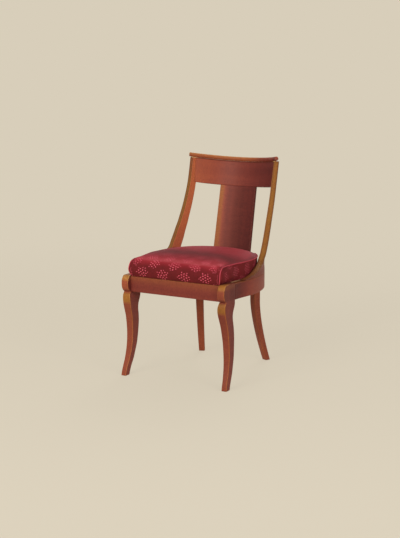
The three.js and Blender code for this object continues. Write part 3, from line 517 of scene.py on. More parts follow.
def frontLegRows():
    # Each section is a square with rounded corners between the front and rear face that the tables
    # give at its height; the leg splays outward towards the floor by the square of the fall.
    postTop, r = railTop + chair["postRise"], frontLeg["arris"]
    low, lowInset, high, highInset = easedEnds(0, postTop, frontLeg["endEase"])
    legShare = np.r_[low / railBottom, np.linspace(0.008, 0.95, frontLeg["legRows"]),
                     np.linspace(0.955, 1, frontLeg["neckRows"])]
    noseShare = np.linspace(0, 1, frontLeg["noseRows"])[1:-2]
    topShare = (high - railBottom) / (postTop - railBottom)
    noseShare = np.r_[noseShare, topShare[topShare > noseShare[-1]]]
    nose = stacked(through(frontLeg["nose"], noseShare)[:, 0], 1, 1)
    faces = np.concatenate([through(frontLeg["leg"], legShare), nose])
    front, rear, width = (v[:, None] for v in (faces * [postDepth, postDepth, chair["postWidth"]]).T)
    z = np.r_[legShare * railBottom, mix(railBottom, postTop, noseShare)][:, None]
    outer = frontHalf + frontLeg["splay"] * np.clip(1 - z / railBottom, 0, 1) ** 2
    inset = np.interp(z, np.r_[low, high], np.r_[lowInset, highInset])
    inset[(z > low[-1]) & (z < high[0])] = 0
    loop = easedLoop(4, 8)
    a, b, ra, rb = loop[:, :4].T
    x = outer - inset - a * (width - 2 * inset) - ra * r
    return stacked(x, between(front, rear, inset, b, rb * r), z), z, loop


def frontLegTone(z, loop, lit):
    # Painted light and shade: the front face is lighter than the sides, with painted highlights that make
    # it goldest on the knee and the nose's top; the post's sides above the rail are darker, the foot
    # lighter, and the left leg lighter than the right.
    front = facing(loop, 5, -1)
    postDark, faceLight, footLight, kneeFrom, kneeTo, nose = (rising(z, *frontLeg[k]) for k in (
        "postDark", "faceLight", "footLight", "kneeFrom", "kneeTo", "noseFrom"))
    knee = kneeFrom * (1 - kneeTo)
    tone = mix(0.45, 0.4, footLight) - 0.1 * postDark
    tone = tone + front * (0.07 + 0.1 * knee + 0.2 * faceLight) + 0.1 * nose
    fadedAndLit = front * (0.12 + 0.75 * knee + 0.45 * nose) + 0.25 * nose
    return tone + lit * (0.6 + 0.4 * front), fadedAndLit


rows, legZ, loop = frontLegRows()
for title, name, side in sides:
    # the arris mark, strongest along the front arrises, is wear and painted highlights
    arris = loop[:, 6] * (0.35 + 0.65 * facing(loop, 5, -1.6))
    woodPiece("frontLeg" + title, rows, rows[..., [2, 0, 1]],
              *frontLegTone(legZ, loop, -frontLeg["lit"] * side), arris, ["front_leg_" + name], side)
print("front legs made")


# The tub line that the outer faces of the side and rear rails follow

tub = {
    "swell": 15.0,
    "widest": 0.417 * backReach,
    "squareness": 2.1,
    "standOff": 19.0,
    "joint": 1.78,
    "samples": 8001,
    "step": 1 / 54,
}
barrel = {
    "radius": 270.0,
    "stileTop": 203.04,
    "stileInner": 183.04,
    "rollRadius": 8.5,
    "rollOverhang": 5.0,
    "filletHeight": 2.5,
    "splatThickness": 11.0,
}


def barrelDepth(x):
    # how far the barrel's front lies behind its axis at a distance from the middle
    return math.sqrt(barrel["radius"] ** 2 - x**2)


stack = barrel["rollRadius"] + barrel["filletHeight"] + 2 * gap
overhang = barrelDepth(barrel["stileInner"]) - barrelDepth(barrel["stileTop"] - barrel["rollOverhang"])
stileTopZ = chair["height"] - barrel["rollRadius"] - stack * cosRake - overhang * sinRake
axisS = backReach * cosRake - stileTopZ * sinRake - barrelDepth(barrel["stileInner"])
splatFoot = (axisS + barrel["radius"] + barrel["splatThickness"] / 2 + railTop * sinRake) / cosRake
stileTopRise = backReach * sinRake + stileTopZ * cosRake
tubHalf = frontHalf + tub["swell"]


def tubTable():
    # Seen from above: an S curve out from behind the post to the widest spot, then a squared quarter
    # oval round to the middle of the back, and the mirror image after that.
    spot = np.linspace(0, 4, tub["samples"])
    near = np.minimum(spot, 4 - spot)
    depth = splatFoot + tub["standOff"] - tub["widest"]
    angle = np.clip(2 - near, 0, 1) * math.pi / 2
    power = 2 / tub["squareness"]
    x = np.where(near <= 1, mix(frontHalf, tubHalf, rising(near)), tubHalf * np.sin(angle) ** power)
    y = np.where(near <= 1, mix(postDepth, tub["widest"], near),
                 tub["widest"] + depth * np.cos(angle) ** power)
    x = np.where(spot > 2, -x, x)
    along = np.stack([np.gradient(x, spot), np.gradient(y, spot)], 1)
    pace = np.linalg.norm(along, axis=1)
    return spot, x, y, along[:, 1] / pace, -along[:, 0] / pace, pace, walked(np.stack([x, y], 1))


tubPlace, tubX, tubY, tubOutX, tubOutY, tubPace, tubLength = tubTable()
halfTub = tub["samples"] // 2 + 1


def tubSpot(spot, inset):
    # a place on the tub line, moved inward square to it by the inset
    x, y, outX, outY = (np.interp(spot, tubPlace, v) for v in (tubX, tubY, tubOutX, tubOutY))
    return x - outX * inset, y - outY * inset


def tubAtY(y):
    # the tub's place from 0 to 2 at a depth behind the front
    return np.interp(y, tubY[:halfTub], tubPlace[:halfTub])


def tubShift(spot, distance):
    # a place moved along the tub line by a length: the length over the line's pace there
    return spot + distance / np.interp(spot, tubPlace, tubPace)


rail = {
    "bulge": 1.5,
    "undercut": 3.0,
    "setBack": 3.0,
    "sideArris": 2.0,
    "endEase": 0.8,
    "postScrewReach": 45.0,
    "postTenonShare": 0.72,
    "sinkRadius": 4.9,
    "sinkDepth": 16.6,
    "sinkSides": 28,
    # painted shade behind the front post, and painted light round the bend
    "behindPost": (0.1, 0.8),
    "toneBehind": 0.24,
    "toneRound": 0.5,
    "frontEase": 0.6,
    "frontRows": 60,
}
postInner = frontHalf - chair["postWidth"]


def railPiece(name, start, end, node, mirror=1):
    # A section with rounded corners is carried along the tub line. Its outer face has painted shade
    # behind the front post and painted light round the bend; the top, painted as lit from above, is the
    # palest face.
    at, inset = easedRun(*np.interp([start, end], tubPlace, tubLength), rail["endEase"],
                         int((end - start) / tub["step"]))
    spot = np.interp(at, tubLength, tubPlace)
    loop, r = easedLoop(2, 6), rail["sideArris"]
    a, b, ra, rb = loop[:, :4].T
    depth = between(0, chair["railThickness"], inset, a, ra * r)
    z = between(railBottom, railTop, inset, b, rb * r)
    outer, topFace = facing(loop, 4, -1), facing(loop, 5)
    behind = rising(np.minimum(spot, 4 - spot), *rail["behindPost"])
    tone = mix(rail["toneBehind"], rail["toneRound"], behind) * outer + (1 - outer) * 0.4 + topFace * 0.06
    return woodPiece(name, stacked(*tubSpot(spot, depth), z), stacked(at, z, depth), tone,
                     topFace * 0.5, loop[:, 6] * 0.6, [node], mirror)


def hollowed(piece, holes):
    # round sinkings taken out of a piece: each is a spot, a radius, and two heights, in millimetres
    turn = fullTurn(rail["sinkSides"])
    for x, y, radius, low, high in holes:
        levels = np.array([[low], [high]])
        cutter = linked("sinking", skinOf("sinking", stacked(
            x + radius * np.cos(turn), y + radius * np.sin(turn), levels)))
        cutting = piece.modifiers.new("sinking", "BOOLEAN")
        cutting.operation, cutting.solver, cutting.object = "DIFFERENCE", "EXACT", cutter
        graph = bpy.context.evaluated_depsgraph_get()
        made = bpy.data.meshes.new_from_object(piece.evaluated_get(graph), depsgraph=graph)
        piece.modifiers.clear()
        made.name, piece.data = piece.name, made
        bpy.data.objects.remove(cutter)


screwMiddle = tubAtY(backReach * mix(0.274, 0.72, rail["postTenonShare"]))
for title, name, side in sides:
    piece = railPiece("sideRail" + title, tubShift(0, gap), tubShift(tub["joint"], -gap / 2),
                      "side_rail_" + name, side)
    sinks = []
    for way in (-1, 1):
        x, y = tubSpot(tubShift(screwMiddle, way * rail["postScrewReach"]), chair["railThickness"] / 2)
        sinks.append((side * x, y, rail["sinkRadius"], railBottom - 4, railBottom + rail["sinkDepth"]))
    hollowed(piece, sinks)
start = tubShift(tub["joint"], gap / 2)
railPiece("rearRail", start, 4 - start, "rear_rail")


def frontRail():
    # One section carried straight across: its front swells and leans under by the rail's undercut.
    x, inset = easedRun(gap - postInner, postInner - gap, rail["frontEase"], rail["frontRows"])
    loop, r = easedLoop(3, 10), chair["railArris"]
    a, b, ra, rb = loop[:, :4].T
    z = between(railBottom, railTop, inset, b, rb * r)
    level = (z - railBottom) / (railTop - railBottom)
    face = rail["setBack"] + rail["undercut"] * (1 - level) - rail["bulge"] * 4 * level * (1 - level)
    y = between(face, frontRailBack, inset, a, ra * r)
    # painted light: the upper part of the front and the top are lighter and more golden, as lit from
    # above
    topFace, upper = facing(loop, 5), rising(level, 0.4, 0.6)
    woodPiece("frontRail", stacked(x, y, z), stacked(x, z, y), 0.43 + 0.05 * upper + 0.08 * topFace,
              0.24 * upper + 0.2 * topFace, loop[:, 6] * 0.5, ["front_rail"])


frontRail()
print("rails made")


# Rear legs

rearLeg = {
    "width": 31.0,
    "depth": 28.0,
    "place": 1.62,
    "inset": 16.0,
    "turn": math.radians(24),
    "kick": 68.0,
    "kickPower": 1.5,
    "knee": 0.776 * railBottom,
    "taper": 0.77,
    "arris": 2.2,
    "endEase": 1.4,
    "rows": 90,
    "footLight": 160,
}


def rearLegRows():
    # Straight down from the rail to the knee, then swept back by a power of the fall, and slimmer.
    z, inset = easedRun(0, railBottom - gap, rearLeg["endEase"], rearLeg["rows"])
    inset = inset * (z < rearLeg["knee"])
    fall = np.clip(1 - z / rearLeg["knee"], 0, 1)
    width, depth = (rearLeg[k] * mix(1, rearLeg["taper"], fall) for k in ("width", "depth"))
    loop, r, turn = easedLoop(5, 5), rearLeg["arris"], rearLeg["turn"]
    a, b, ra, rb = loop[:, :4].T
    across = -rearLeg["width"] / 2 + inset + a * (width - 2 * inset) + ra * r
    back = rearLeg["kick"] * fall ** rearLeg["kickPower"] - rearLeg["depth"] / 2
    back = back + inset + b * (depth - 2 * inset) + rb * r
    footX, footY = tubSpot(rearLeg["place"], rearLeg["inset"])
    x = footX + across * math.cos(turn) + back * math.sin(turn)
    y = footY - across * math.sin(turn) + back * math.cos(turn)
    return stacked(x, y, z), stacked(z, across, back), z, loop


rows, grain, legZ, loop = rearLegRows()
for title, name, side in sides:
    # painted light: the front faces are lighter, and so is the foot
    tone = 0.45 + 0.08 * facing(loop, 5, -1) + 0.08 * (1 - rising(legZ, 0, rearLeg["footLight"]))
    woodPiece("rearLeg" + title, rows, grain, tone, 0.14, loop[:, 6] * 0.6, ["rear_leg_" + name], side)
print("rear legs made")


# Back posts: a long swept foot on the side rail that climbs into a raked, turned plank

stile = {
    "width": 25.0,
    "topWidth": 20.0,
    "turn": math.radians(24),
    "straightShare": 0.175,
    "arris": 2.4,
    "footRows": 9,
    "climbRows": 4,
    "steps": 6,
    "topCuts": [(-2, 0.35), (-3, 1.2)],
    # painted light and shade: darker margins on the front face, a darker foot, a lighter inner face, and
    # less gold high on the left post
    "margin": (0.4, 0.6),
    "footDark": 0.1,
    "innerLight": 0.5,
    "topShade": (0.72, 0.2),
    # height as a share of the post's rise; front and rear end as shares of the back's reach; outer
    # face as a share of the tub's half width
    "rows": [
        (0.0, 0.274, 0.72, 1.0), (0.006, 0.276, 0.722, 1.0), (0.017, 0.347, 0.726, 1.0),
        (0.028, 0.404, 0.732, 1.0), (0.043, 0.453, 0.737, 1.0), (0.062, 0.507, 0.745, 0.996),
        (0.083, 0.562, 0.754, 0.983), (0.104, 0.611, 0.762, 0.965), (0.128, 0.653, 0.771, 0.938),
        (0.152, 0.684, 0.779, 0.928), (0.175, 0.703, 0.792, 0.921), (0.208, 0.72, 0.808, 0.917),
        (0.246, 0.741, 0.827, 0.912), (0.294, 0.766, 0.846, 0.904), (0.341, 0.789, 0.866, 0.896),
        (0.388, 0.813, 0.886, 0.887), (0.436, 0.834, 0.903, 0.879), (0.53, 0.874, 0.939, 0.867),
        (0.625, 0.909, 0.971, 0.858), (0.72, 0.939, 0.998, 0.85), (0.791, 0.957, 1.014, 0.846),
        (0.862, 0.973, 1.026, 0.846), (0.933, 0.987, 1.039, 0.846), (1.0, 1.0, 1.051, 0.846),
    ],
}
stileTable = np.array(stile["rows"])
stileRise = stileTopZ - railTop - gap


def stileSpot(y, z, inset):
    # Low down the face follows the tub line; higher it is a straight plank whose rear end is turned
    # inward, and between them it goes smoothly from one to the other.
    level = np.clip((z - railTop - gap) / stileRise, 0, 1)
    frontY, rearY, outward = (np.interp(level, stileTable[:, 0], stileTable[:, k]) for k in (1, 2, 3))
    frontY, rearY, frontX = frontY * backReach, rearY * backReach, outward * tubHalf
    share = (y - frontY) / (rearY - frontY)
    tubFrom, tubTo = tubAtY(frontY), tubAtY(rearY)
    straight = rising(level / stile["straightShare"])
    turned = frontX - (rearY - frontY) * math.tan(stile["turn"])
    rearX = mix(np.interp(tubTo, tubPlace, tubX), turned, straight)
    length = np.hypot(rearY - frontY, frontX - rearX)
    plankX = mix(frontX, rearX, share) - (rearY - frontY) / length * inset
    plankY = mix(frontY, rearY, share) - (frontX - rearX) / length * inset
    curvedX, curvedY = tubSpot(mix(tubFrom, tubTo, share), inset)
    return mix(curvedX, plankX, straight), mix(curvedY, plankY, straight)


def stileRows():
    # Row by row of the table, and between its rows, the section runs from the front arris to the
    # rear one; in the foot its rear end walks along the rail and then climbs the back of the post.
    last = len(stileTable) - 1
    row = np.linspace(1, last, (last - 1) * stile["steps"] + 1)
    level, frontShare, rearShare, _ = through(np.column_stack([range(last + 1), stileTable]), row).T
    climb = rising((row - stile["footRows"]) / stile["climbRows"])
    rearLevel = level * climb
    walk = mix(*stileTable[0, 1:3], np.minimum(1, row / stile["footRows"]))
    climbed = np.interp(rearLevel, stileTable[:, 0], stileTable[:, 2])
    rearReach = np.where(row < stile["footRows"], walk, climbed)
    rearReach = np.where(climb < 1, rearReach, rearShare)
    frontY, frontZ, rearY, rearZ, level = (v[:, None] for v in (
        frontShare * backReach, level * stileRise, rearReach * backReach, rearLevel * stileRise, level))
    chord = np.hypot(rearY - frontY, rearZ - frontZ)
    loop, r = easedLoop(10, 4), np.minimum(stile["arris"], chord / 5)
    a, b, ra, rb = loop[:, :4].T
    share = a + ra * r / chord
    y, z = mix(frontY, rearY, share), railTop + gap + mix(frontZ, rearZ, share)
    x, y = stileSpot(y, z, b * mix(stile["width"], stile["topWidth"], level) + rb * r)
    levelled = (stileTopRise - y * sinRake) / cosRake
    z[-1] = levelled[-1]
    for k, cut in stile["topCuts"]:
        z[k] = np.minimum(z[k], levelled[k] - cut)
    return stacked(x, y, z), level, share, loop


rows, level, share, loop = stileRows()
grain = stacked(walked(rows[:, 0])[:, None], loop[:, 1] * 25, share * 60)
# Painted light and shade: the front face is gold, as faded wood and as painted light, with painted shade
# along its margins; the inner face is painted lighter as it rises, the outer face a little darker, the
# foot darker, and the left post less gold towards its top.
frontFace, inner, outer = facing(loop, 4, -1), facing(loop, 5), facing(loop, 5, -1)
margin = rising(np.abs(2 * loop[:, 1] - 1), *stile["margin"])
foot = 1 - rising(level, 0, stile["footDark"])
inside = inner * mix(0.24, 0.36, rising(level, 0, stile["innerLight"]))
tone = 0.44 + frontFace * 0.06 + inside - outer * 0.02 - 0.1 * foot - 0.18 * frontFace * margin
for title, name, side in sides:
    upper = rising(level, *stile["topShade"]) * (side < 0)
    woodPiece("backPost" + title, rows, grain, tone, frontFace * (0.85 - 0.3 * foot - 0.4 * upper) + 0.08,
              loop[:, 6] * 0.3, ["back_post_" + name], side)
print("back posts made")


# Crest and splat: boards sawn from a raked barrel

def barrelSpot(angle, radius, rise):
    # a spot at an angle round the barrel's axis, at a radius, and at a height along the rake
    s = axisS + radius * np.cos(angle)
    return stacked(radius * np.sin(angle), s * cosRake + rise * sinRake, rise * cosRake - s * sinRake)


def riseAt(angle, radius, z):
    # the height along the rake at which a spot on the barrel reaches a level
    return (z + (axisS + radius * np.cos(angle)) * sinRake) / cosRake


def stileInnerAt(radius, rise):
    # the angle at which a board meets the post's inner face, found by a few turns of correction
    angle = np.full(np.broadcast(radius, rise).shape, math.asin(180 / barrel["radius"]))
    for _ in range(12):
        y, z = np.moveaxis(barrelSpot(angle, radius, rise)[..., 1:], -1, 0)
        level = np.clip((z - railTop - gap) / stileRise, 0, 1)
        faceX, faceY = stileSpot(y, z, mix(stile["width"], stile["topWidth"], level))
        slip = (y - faceY) * math.tan(stile["turn"])
        angle = np.arcsin(np.clip((faceX - slip - gap) / radius, -1, 1))
    return angle


def boardRows(board, bottom, top, endAngle, loop, floor=None):
    # Sections piled along the rake; each runs between two end angles and two radii. Where a floor is
    # given, the foot is cut level along it.
    rise, inset = easedRun(bottom, top, board["ease"], board["rows"])
    a, b, ra, rb = loop[:, :4].T
    front, r = barrel["radius"], board["arris"]
    radius = between(front, front + board["thickness"], inset, b, rb * r)
    reach = endAngle(radius, rise) - inset / radius
    angle = reach * (2 * a - 1) + ra * r / radius
    if floor is not None:
        lifted = riseAt(angle, radius, floor + (rise - bottom))
        rise = mix(rise, lifted, rising(1 - (rise - bottom) / board["levelled"]))
    return barrelSpot(angle, radius, rise), stacked(rise, angle * radius, radius), angle


tablet = {"height": 99.0, "thickness": 20.0, "arris": 1.6, "ease": 1.4, "rows": 26}
splat = {"halfTop": 80.0, "halfBottom": 83.0, "thickness": 11.0, "arris": 2.0, "ease": 0.6, "rows": 60,
         "levelled": 12}
tabletBottom = stileTopRise - tablet["height"]
loop = easedLoop(60, 3)
rows, grain, angle = boardRows(tablet, tabletBottom, stileTopRise, stileInnerAt, loop)
# Painted light and shade: the tablet is lighter and more golden at its left end, darker to the right, and
# darker on its end faces where they meet the posts.
lean = np.clip(angle / 0.7, -1, 1)
tone = 0.44 - 0.16 * rising(lean, -0.3, 1.2) + 0.18 * (1 - rising(lean, -1, 0.9))
woodPiece("crestTablet", rows, grain[..., [1, 0, 2]], tone - 0.2 * rising(np.abs(loop[:, 4]), 0, 0.5),
          0.1 * (1 - rising(lean, -1, 0.8)), loop[:, 6] * 0.5, ["crest_tablet"])
splatBottom = float(riseAt(0, barrel["radius"], railTop + gap))


def splatReach(radius, rise):
    # the angle of the splat's edge: its half width, which narrows evenly upwards, over the barrel
    share = np.clip((rise - splatBottom) / (tabletBottom - gap - splatBottom), 0, 1)
    return np.arcsin(mix(splat["halfBottom"], splat["halfTop"], share) / barrel["radius"])


loop = easedLoop(40, 3)
rows, grain, angle = boardRows(splat, splatBottom, tabletBottom - gap, splatReach, loop, railTop + gap)
# Painted light: the splat darkens towards its right, and all but its back has a painted highlight as a
# golden band along the left edge.
lean = angle / 0.3
seen = np.clip(1 - loop[:, 5], 0, 1)
litStrip = (1 - rising(lean, -0.84, 0.34)) * seen
woodPiece("splat", rows, grain, 0.4 - 0.16 * rising(lean, -0.6, 1.0) + 0.24 * litStrip,
          0.5 * (1 - rising(lean, -0.9, 0.2)) * seen, loop[:, 6] * 0.55, ["splat"])

fillet = {"setBack": 2.0, "depth": 18.0, "arris": 0.8, "ease": 0.6, "rows": 90, "highlightEnds": (168, 12)}
roll = {"ease": 1.4, "around": 36, "step": math.radians(1.2), "shaded": (0.02, 0.5),
        "darkEnds": (0.72, 0.02)}
filletBottom = stileTopRise + gap
rollRise = filletBottom + barrel["filletHeight"] + gap + barrel["rollRadius"]


def crestFillet():
    # a thin flat section carried round the barrel, level with the posts' tops
    back = barrel["radius"] - fillet["setBack"] + fillet["depth"]
    reach = math.asin(barrel["stileTop"] / back)
    arc, inset = easedRun(-reach * back, reach * back, fillet["ease"], fillet["rows"])
    loop, r = easedLoop(4, 1), fillet["arris"]
    a, b, ra, rb = loop[:, :4].T
    radius = between(back - fillet["depth"], back, inset, a, ra * r)
    rise = between(filletBottom, filletBottom + barrel["filletHeight"], inset * 0.5, b, rb * r)
    rows = barrelSpot(arc / back, radius, rise)
    # painted highlight: the front face is pale and golden at both ends, over the posts
    ends = rising(np.abs(rows[..., 0]), *fillet["highlightEnds"]) * facing(loop, 4, -1)
    woodPiece("crestFillet", rows, stacked(arc, radius, rise), 0.4 + 0.6 * ends, 0.2 + 0.8 * ends,
              loop[:, 6] * 0.6, ["crest_fillet"])


def crestRoll():
    # a circle carried round the barrel; its ends are flat with a rounded arris
    radius = barrel["radius"]
    reach = math.asin((barrel["stileTop"] - barrel["rollOverhang"]) / radius)
    arc, inset = easedRun(-reach * radius, reach * radius, roll["ease"], int(2 * reach / roll["step"]), 5)
    angle, thin = arc / radius, barrel["rollRadius"] - inset
    turn = fullTurn(roll["around"])
    aside, over = thin * np.cos(turn), thin * np.sin(turn)
    # Painted light and shade: a painted highlight along the top, which also takes the arris mark, and
    # painted shade over the right half, darkest at its right end.
    up, shaded = np.clip(np.sin(turn), 0, 1), rising(angle, *roll["shaded"])
    ends = rising(np.abs(angle), *roll["darkEnds"])
    woodPiece("crestRoll", barrelSpot(angle, radius + aside, rollRise + over), stacked(arc, aside, over),
              0.62 + 0.26 * up - 0.22 * shaded - 0.1 * ends * shaded,
              (0.3 + 0.4 * up) * (1 - 0.8 * shaded), 0.3 * up, ["crest_roll"])


crestFillet()
crestRoll()
print("crest and splat made")


# Bare beech inside: the frame's own blocks and boards, merged and with their arrises eased

beechTones = {"dark": (138, 100, 66), "middle": (176, 136, 94), "light": (200, 164, 120),
              "fleck": (122, 82, 52), "dust": (120, 98, 74)}


def beechMaterial():
    # pale wood with brown ray flecks, dusty in places
    material, tree = newMaterial("bareBeech")
    spot = kept(tree, "grainSpot", "Vector")
    figure = useGroup(tree, sawnWood, Spot=spot, Streaks=60.0, Pores=0.35)
    fleck = ranged(noise(stretched(spot, (170, 700, 700)), detail=1.0), 0.6, 0.66)
    color = ramp(figure["Figure"], [
        (0.2, beechTones["dark"]), (0.48, beechTones["middle"]), (0.75, beechTones["light"])])
    color = blended(times(fleck, 0.4), color, linear(beechTones["fleck"]))
    dust = ranged(noise(spot, 22.0), 0.45, 0.75)
    color = blended(times(dust, 0.25), color, linear(beechTones["dust"]))
    return finish(material, color, plus(0.62, times(dust, 0.2)), figure["Height"], 0.3, 0.0005)


beech = beechMaterial()
copies = {"doubles": 2e-6, "flatAngle": 0.6, "sharpAngle": 25, "bevelAngle": 40, "tubRadius": 0.22,
          "tubMiddle": 0.05, "shift": 0.31}


def easedCopy(node, name, body, ease, alongTub=False):
    # A merged copy of a node: doubled points joined, flat faces made whole, arrises bevelled. The
    # grain runs along the node's longest side, or round the tub.
    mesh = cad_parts[node].data.copy()
    mesh.name = name
    made = bmesh.new()
    made.from_mesh(mesh)
    bmesh.ops.remove_doubles(made, verts=made.verts, dist=copies["doubles"])
    bmesh.ops.dissolve_limit(
        made, angle_limit=math.radians(copies["flatAngle"]), verts=made.verts, edges=made.edges)
    made.to_mesh(mesh)
    made.free()
    spots = np.zeros(len(mesh.vertices) * 3)
    mesh.vertices.foreach_get("co", spots)
    spots = spots.reshape(-1, 3)
    grain = spots[:, np.argsort(-np.ptp(spots, axis=0))]
    if alongTub:
        x, y, z = spots.T
        grain = stacked(np.arctan2(x, y + copies["tubMiddle"]) * copies["tubRadius"], z, np.hypot(x, y))
    mark(mesh, "grainSpot", grain + len(bpy.data.meshes) * copies["shift"], "FLOAT_VECTOR")
    mesh.polygons.foreach_set("use_smooth", np.ones(len(mesh.polygons), bool))
    mesh.set_sharp_from_angle(angle=math.radians(copies["sharpAngle"]))
    bevel = place(name, mesh, body, beech, [node]).modifiers.new("arrises", "BEVEL")
    bevel.width, bevel.segments, bevel.limit_method = ease, 2, "ANGLE"
    bevel.angle_limit = math.radians(copies["bevelAngle"])


for title, name, side in sides:
    easedCopy("front_block_" + name, "frontBlock" + title, "chair", 0.0008)
    easedCopy("rear_block_" + name, "rearBlock" + title, "chair", 0.0008, True)
    easedCopy("seat_frame_" + name, "seatFrame" + title, "seat", 0.001, True)
easedCopy("seat_frame_front", "seatFrameFront", "seat", 0.001)
easedCopy("seat_frame_back", "seatFrameBack", "seat", 0.001, True)


def hiddenWood():
    # keys and dowels stay as they are, in beech read at their own spots
    material, tree = newMaterial("beechInside")
    spot = put(tree, "ShaderNodeTexCoord")["Object"]
    figure = useGroup(tree, sawnWood, Spot=spot, Streaks=60.0, Pores=0.4)["Figure"]
    color = ramp(figure, [(0.2, beechTones["dark"]), (0.8, beechTones["light"])])
    return finish(material, color, plus(0.6, times(figure, 0.2)))


def steelMaterial():
    # dull screw steel, browned in patches and finely scored all over
    material, tree = newMaterial("screwSteel", Metallic=0.9)
    spot = put(tree, "ShaderNodeTexCoord")["Object"]
    rust = ranged(noise(spot, 420.0, 4.0), 0.45, 0.7)
    color = blended(rust, linear((132, 128, 122)), linear((96, 70, 52)))
    rough = plus(0.34, times(rust, 0.3))
    return finish(material, color, rough, noise(spot, 2600.0, 2.0), 0.2, 0.0001)


asCut = {"key": hiddenWood(), "screw": steelMaterial()}
asCut["dowel"] = asCut["key"]
for node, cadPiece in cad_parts.items():
    for word, material in asCut.items():
        if word in node:
            cadPiece.data.materials.clear()
            cadPiece.data.materials.append(material)
print("beech and steel finished")


# Upholstery, from the webbing up

linenTones = {"light": (186, 160, 118), "dark": (140, 112, 76), "stripe": (112, 62, 48),
              "soil": (108, 84, 58), "stripeAt": 0.0165}


def linenMaterial(name, threads, striped):
    # coarse woven linen; webbing has two dull red stripes near its edges
    material, tree = newMaterial(name)
    spot = put(tree, "ShaderNodeUVMap", uv_map="cloth")[0]
    cloth = useGroup(tree, weave, Spot=spot, Threads=threads)
    color = ramp(plus(times(cloth["Height"], 0.6), times(cloth["Slub"], 0.5)), [
        (0.1, linenTones["dark"]), (0.85, linenTones["light"])])
    if striped:
        across = calc("ABSOLUTE", put(tree, "ShaderNodeSeparateXYZ", {0: spot})[1])
        stripe = ranged(calc("ABSOLUTE", minus(across, linenTones["stripeAt"])), 0.0022, 0.0012)
        color = blended(times(stripe, 0.8), color, linear(linenTones["stripe"]))
    soiled = ranged(noise(spot, 14.0), 0.4, 0.75)
    color = blended(times(soiled, 0.3), color, linear(linenTones["soil"]))
    return finish(material, color, 0.92, cloth["Height"], 0.7, 0.0005)


def clothMap(mesh, corners):
    # the cloth's own flat measure at each corner of each face, in metres
    layer = mesh.uv_layers.new(name="cloth")
    layer.data.foreach_set("uv", np.asarray(corners * 0.001, np.float32).ravel())


def cornersOf(mesh, values):
    # each face corner's value from that of its point
    index = np.zeros(len(mesh.loops), int)
    mesh.loops.foreach_get("vertex_index", index)
    return values.reshape(-1, 2)[index]


seatLevels = {"frameTop": 396.3, "inset": 28.0, "boardBack": 73.0}
cushionBack = float(tubSpot(2.0, seatLevels["inset"])[1])
web = {
    "width": 46.0,
    "thickness": 1.3,
    "landing": 16.0,
    "across": [-0.383, 0, 0.383],
    "back": [0.188, 0.439, 0.69],
    "rows": 120,
    "waver": 0.35,
    "slack": 0.4,
}
webLift = (web["thickness"] + gap) / 2
webMiddle = seatLevels["frameTop"] + gap + web["thickness"] / 2 + webLift
webbing = linenMaterial("webbingLinen", 620.0, True)


def strapPiece(name, start, end, middle, crossings, firstUp, alongX, node):
    # A flat strap that lies low at its ends and passes over and under the straps it crosses; its
    # edges waver a little where the weft draws them in.
    half, r = web["width"] / 2, web["thickness"] * 0.4
    knots = [start] + [c + w for c in crossings for w in (-half, half)] + [end]
    ups = [webLift if (i % 2 == 0) == firstUp else -webLift for i in range(len(crossings))]
    run = np.linspace(start, end, web["rows"])[:, None]
    a, b, ra, rb = easedLoop(12, 1, 3)[:, :4].T
    drawn = web["waver"] * np.sin(run * 0.55) * np.sin(run * 0.171 + middle)
    across = (2 * a - 1) * (half + drawn - web["slack"]) + ra * r
    lift = np.interp(run, knots, [-webLift, *np.repeat(ups, 2), -webLift])
    z = webMiddle + lift + (b - 0.5) * web["thickness"] + rb * r
    mesh = skinOf(name, stacked(run, middle + across, z) if alongX else stacked(middle + across, run, z))
    clothMap(mesh, cornersOf(mesh, stacked(run, across)))
    place(name, mesh, "seat", webbing, [node])


acrossAt = [share * tubHalf for share in web["across"]]
backAt = [mix(seatLevels["boardBack"], cushionBack, share) for share in web["back"]]
tubInnerX, tubInnerY = tubSpot(tubPlace[:halfTub], seatLevels["inset"])
rearPart = tubInnerY > tub["widest"]
for i, y in enumerate(backAt):
    reach = np.interp(y + web["width"] / 2, tubInnerY, tubInnerX) - web["landing"]
    strapPiece(f"webbingCross{i + 1}", -reach, reach, y, acrossAt, i % 2 == 0, True,
               f"webbing_cross_{i + 1}")
for i, x in enumerate(acrossAt):
    outer = abs(x) + web["width"] / 2
    rear = np.interp(-outer, -tubInnerX[rearPart], tubInnerY[rearPart]) - web["landing"]
    strapPiece(f"webbingLong{i + 1}", seatLevels["boardBack"] - web["landing"], rear, x, backAt,
               i % 2 == 1, False, f"webbing_long_{i + 1}")
print("webbing made")

cushion = {
    "rise": 77.0,
    "frontFace": 3.0,
    "corner": 16.0,
    "sideX": postInner - 2.5,
    "ringFrom": 102.3,
    "rearFall": 0.12,
    "fallReach": 1.5,
    "cells": 36,
    "stepsPerRow": 3,
    "shrink": 1.2,
    "hem": 9.0,
    "recess": 4.5,
    "rearCorner": 1.55,
    "softened": 24,
    "weltRow": 6,
    "weltFront": 0.74,
    # height as a share of the rise, then how far inside the outline at the sides and at the front
    "rows": [
        (0.0, 0.01, 0.0), (0.07, -0.03, -0.05), (0.2, -0.19, -0.12), (0.4, -0.27, -0.15),
        (0.6, -0.22, -0.09), (0.76, -0.1, 0.01), (0.86, 0.0, 0.12), (0.92, 0.1, 0.24),
        (0.96, 0.24, 0.42),
    ],
    # how far from the edge to the middle, and height there
    "crown": [(-0.05, 0.92), (0.0, 0.96), (0.12, 1.035), (0.3, 1.095), (0.55, 1.15), (0.8, 1.185),
              (1.0, 1.2), (1.2, 1.185)],
}
stuffing = {"pressure": 4.0, "frames": 20, "stretch": 12, "bend": 1.5, "quality": 6, "weltHold": 0.45,
            "cap": 4.5, "sideRoom": 1.2, "besidePosts": (50, 60)}
cushionCentre = np.array([0.0, (cushion["frontFace"] + cushionBack) / 2])
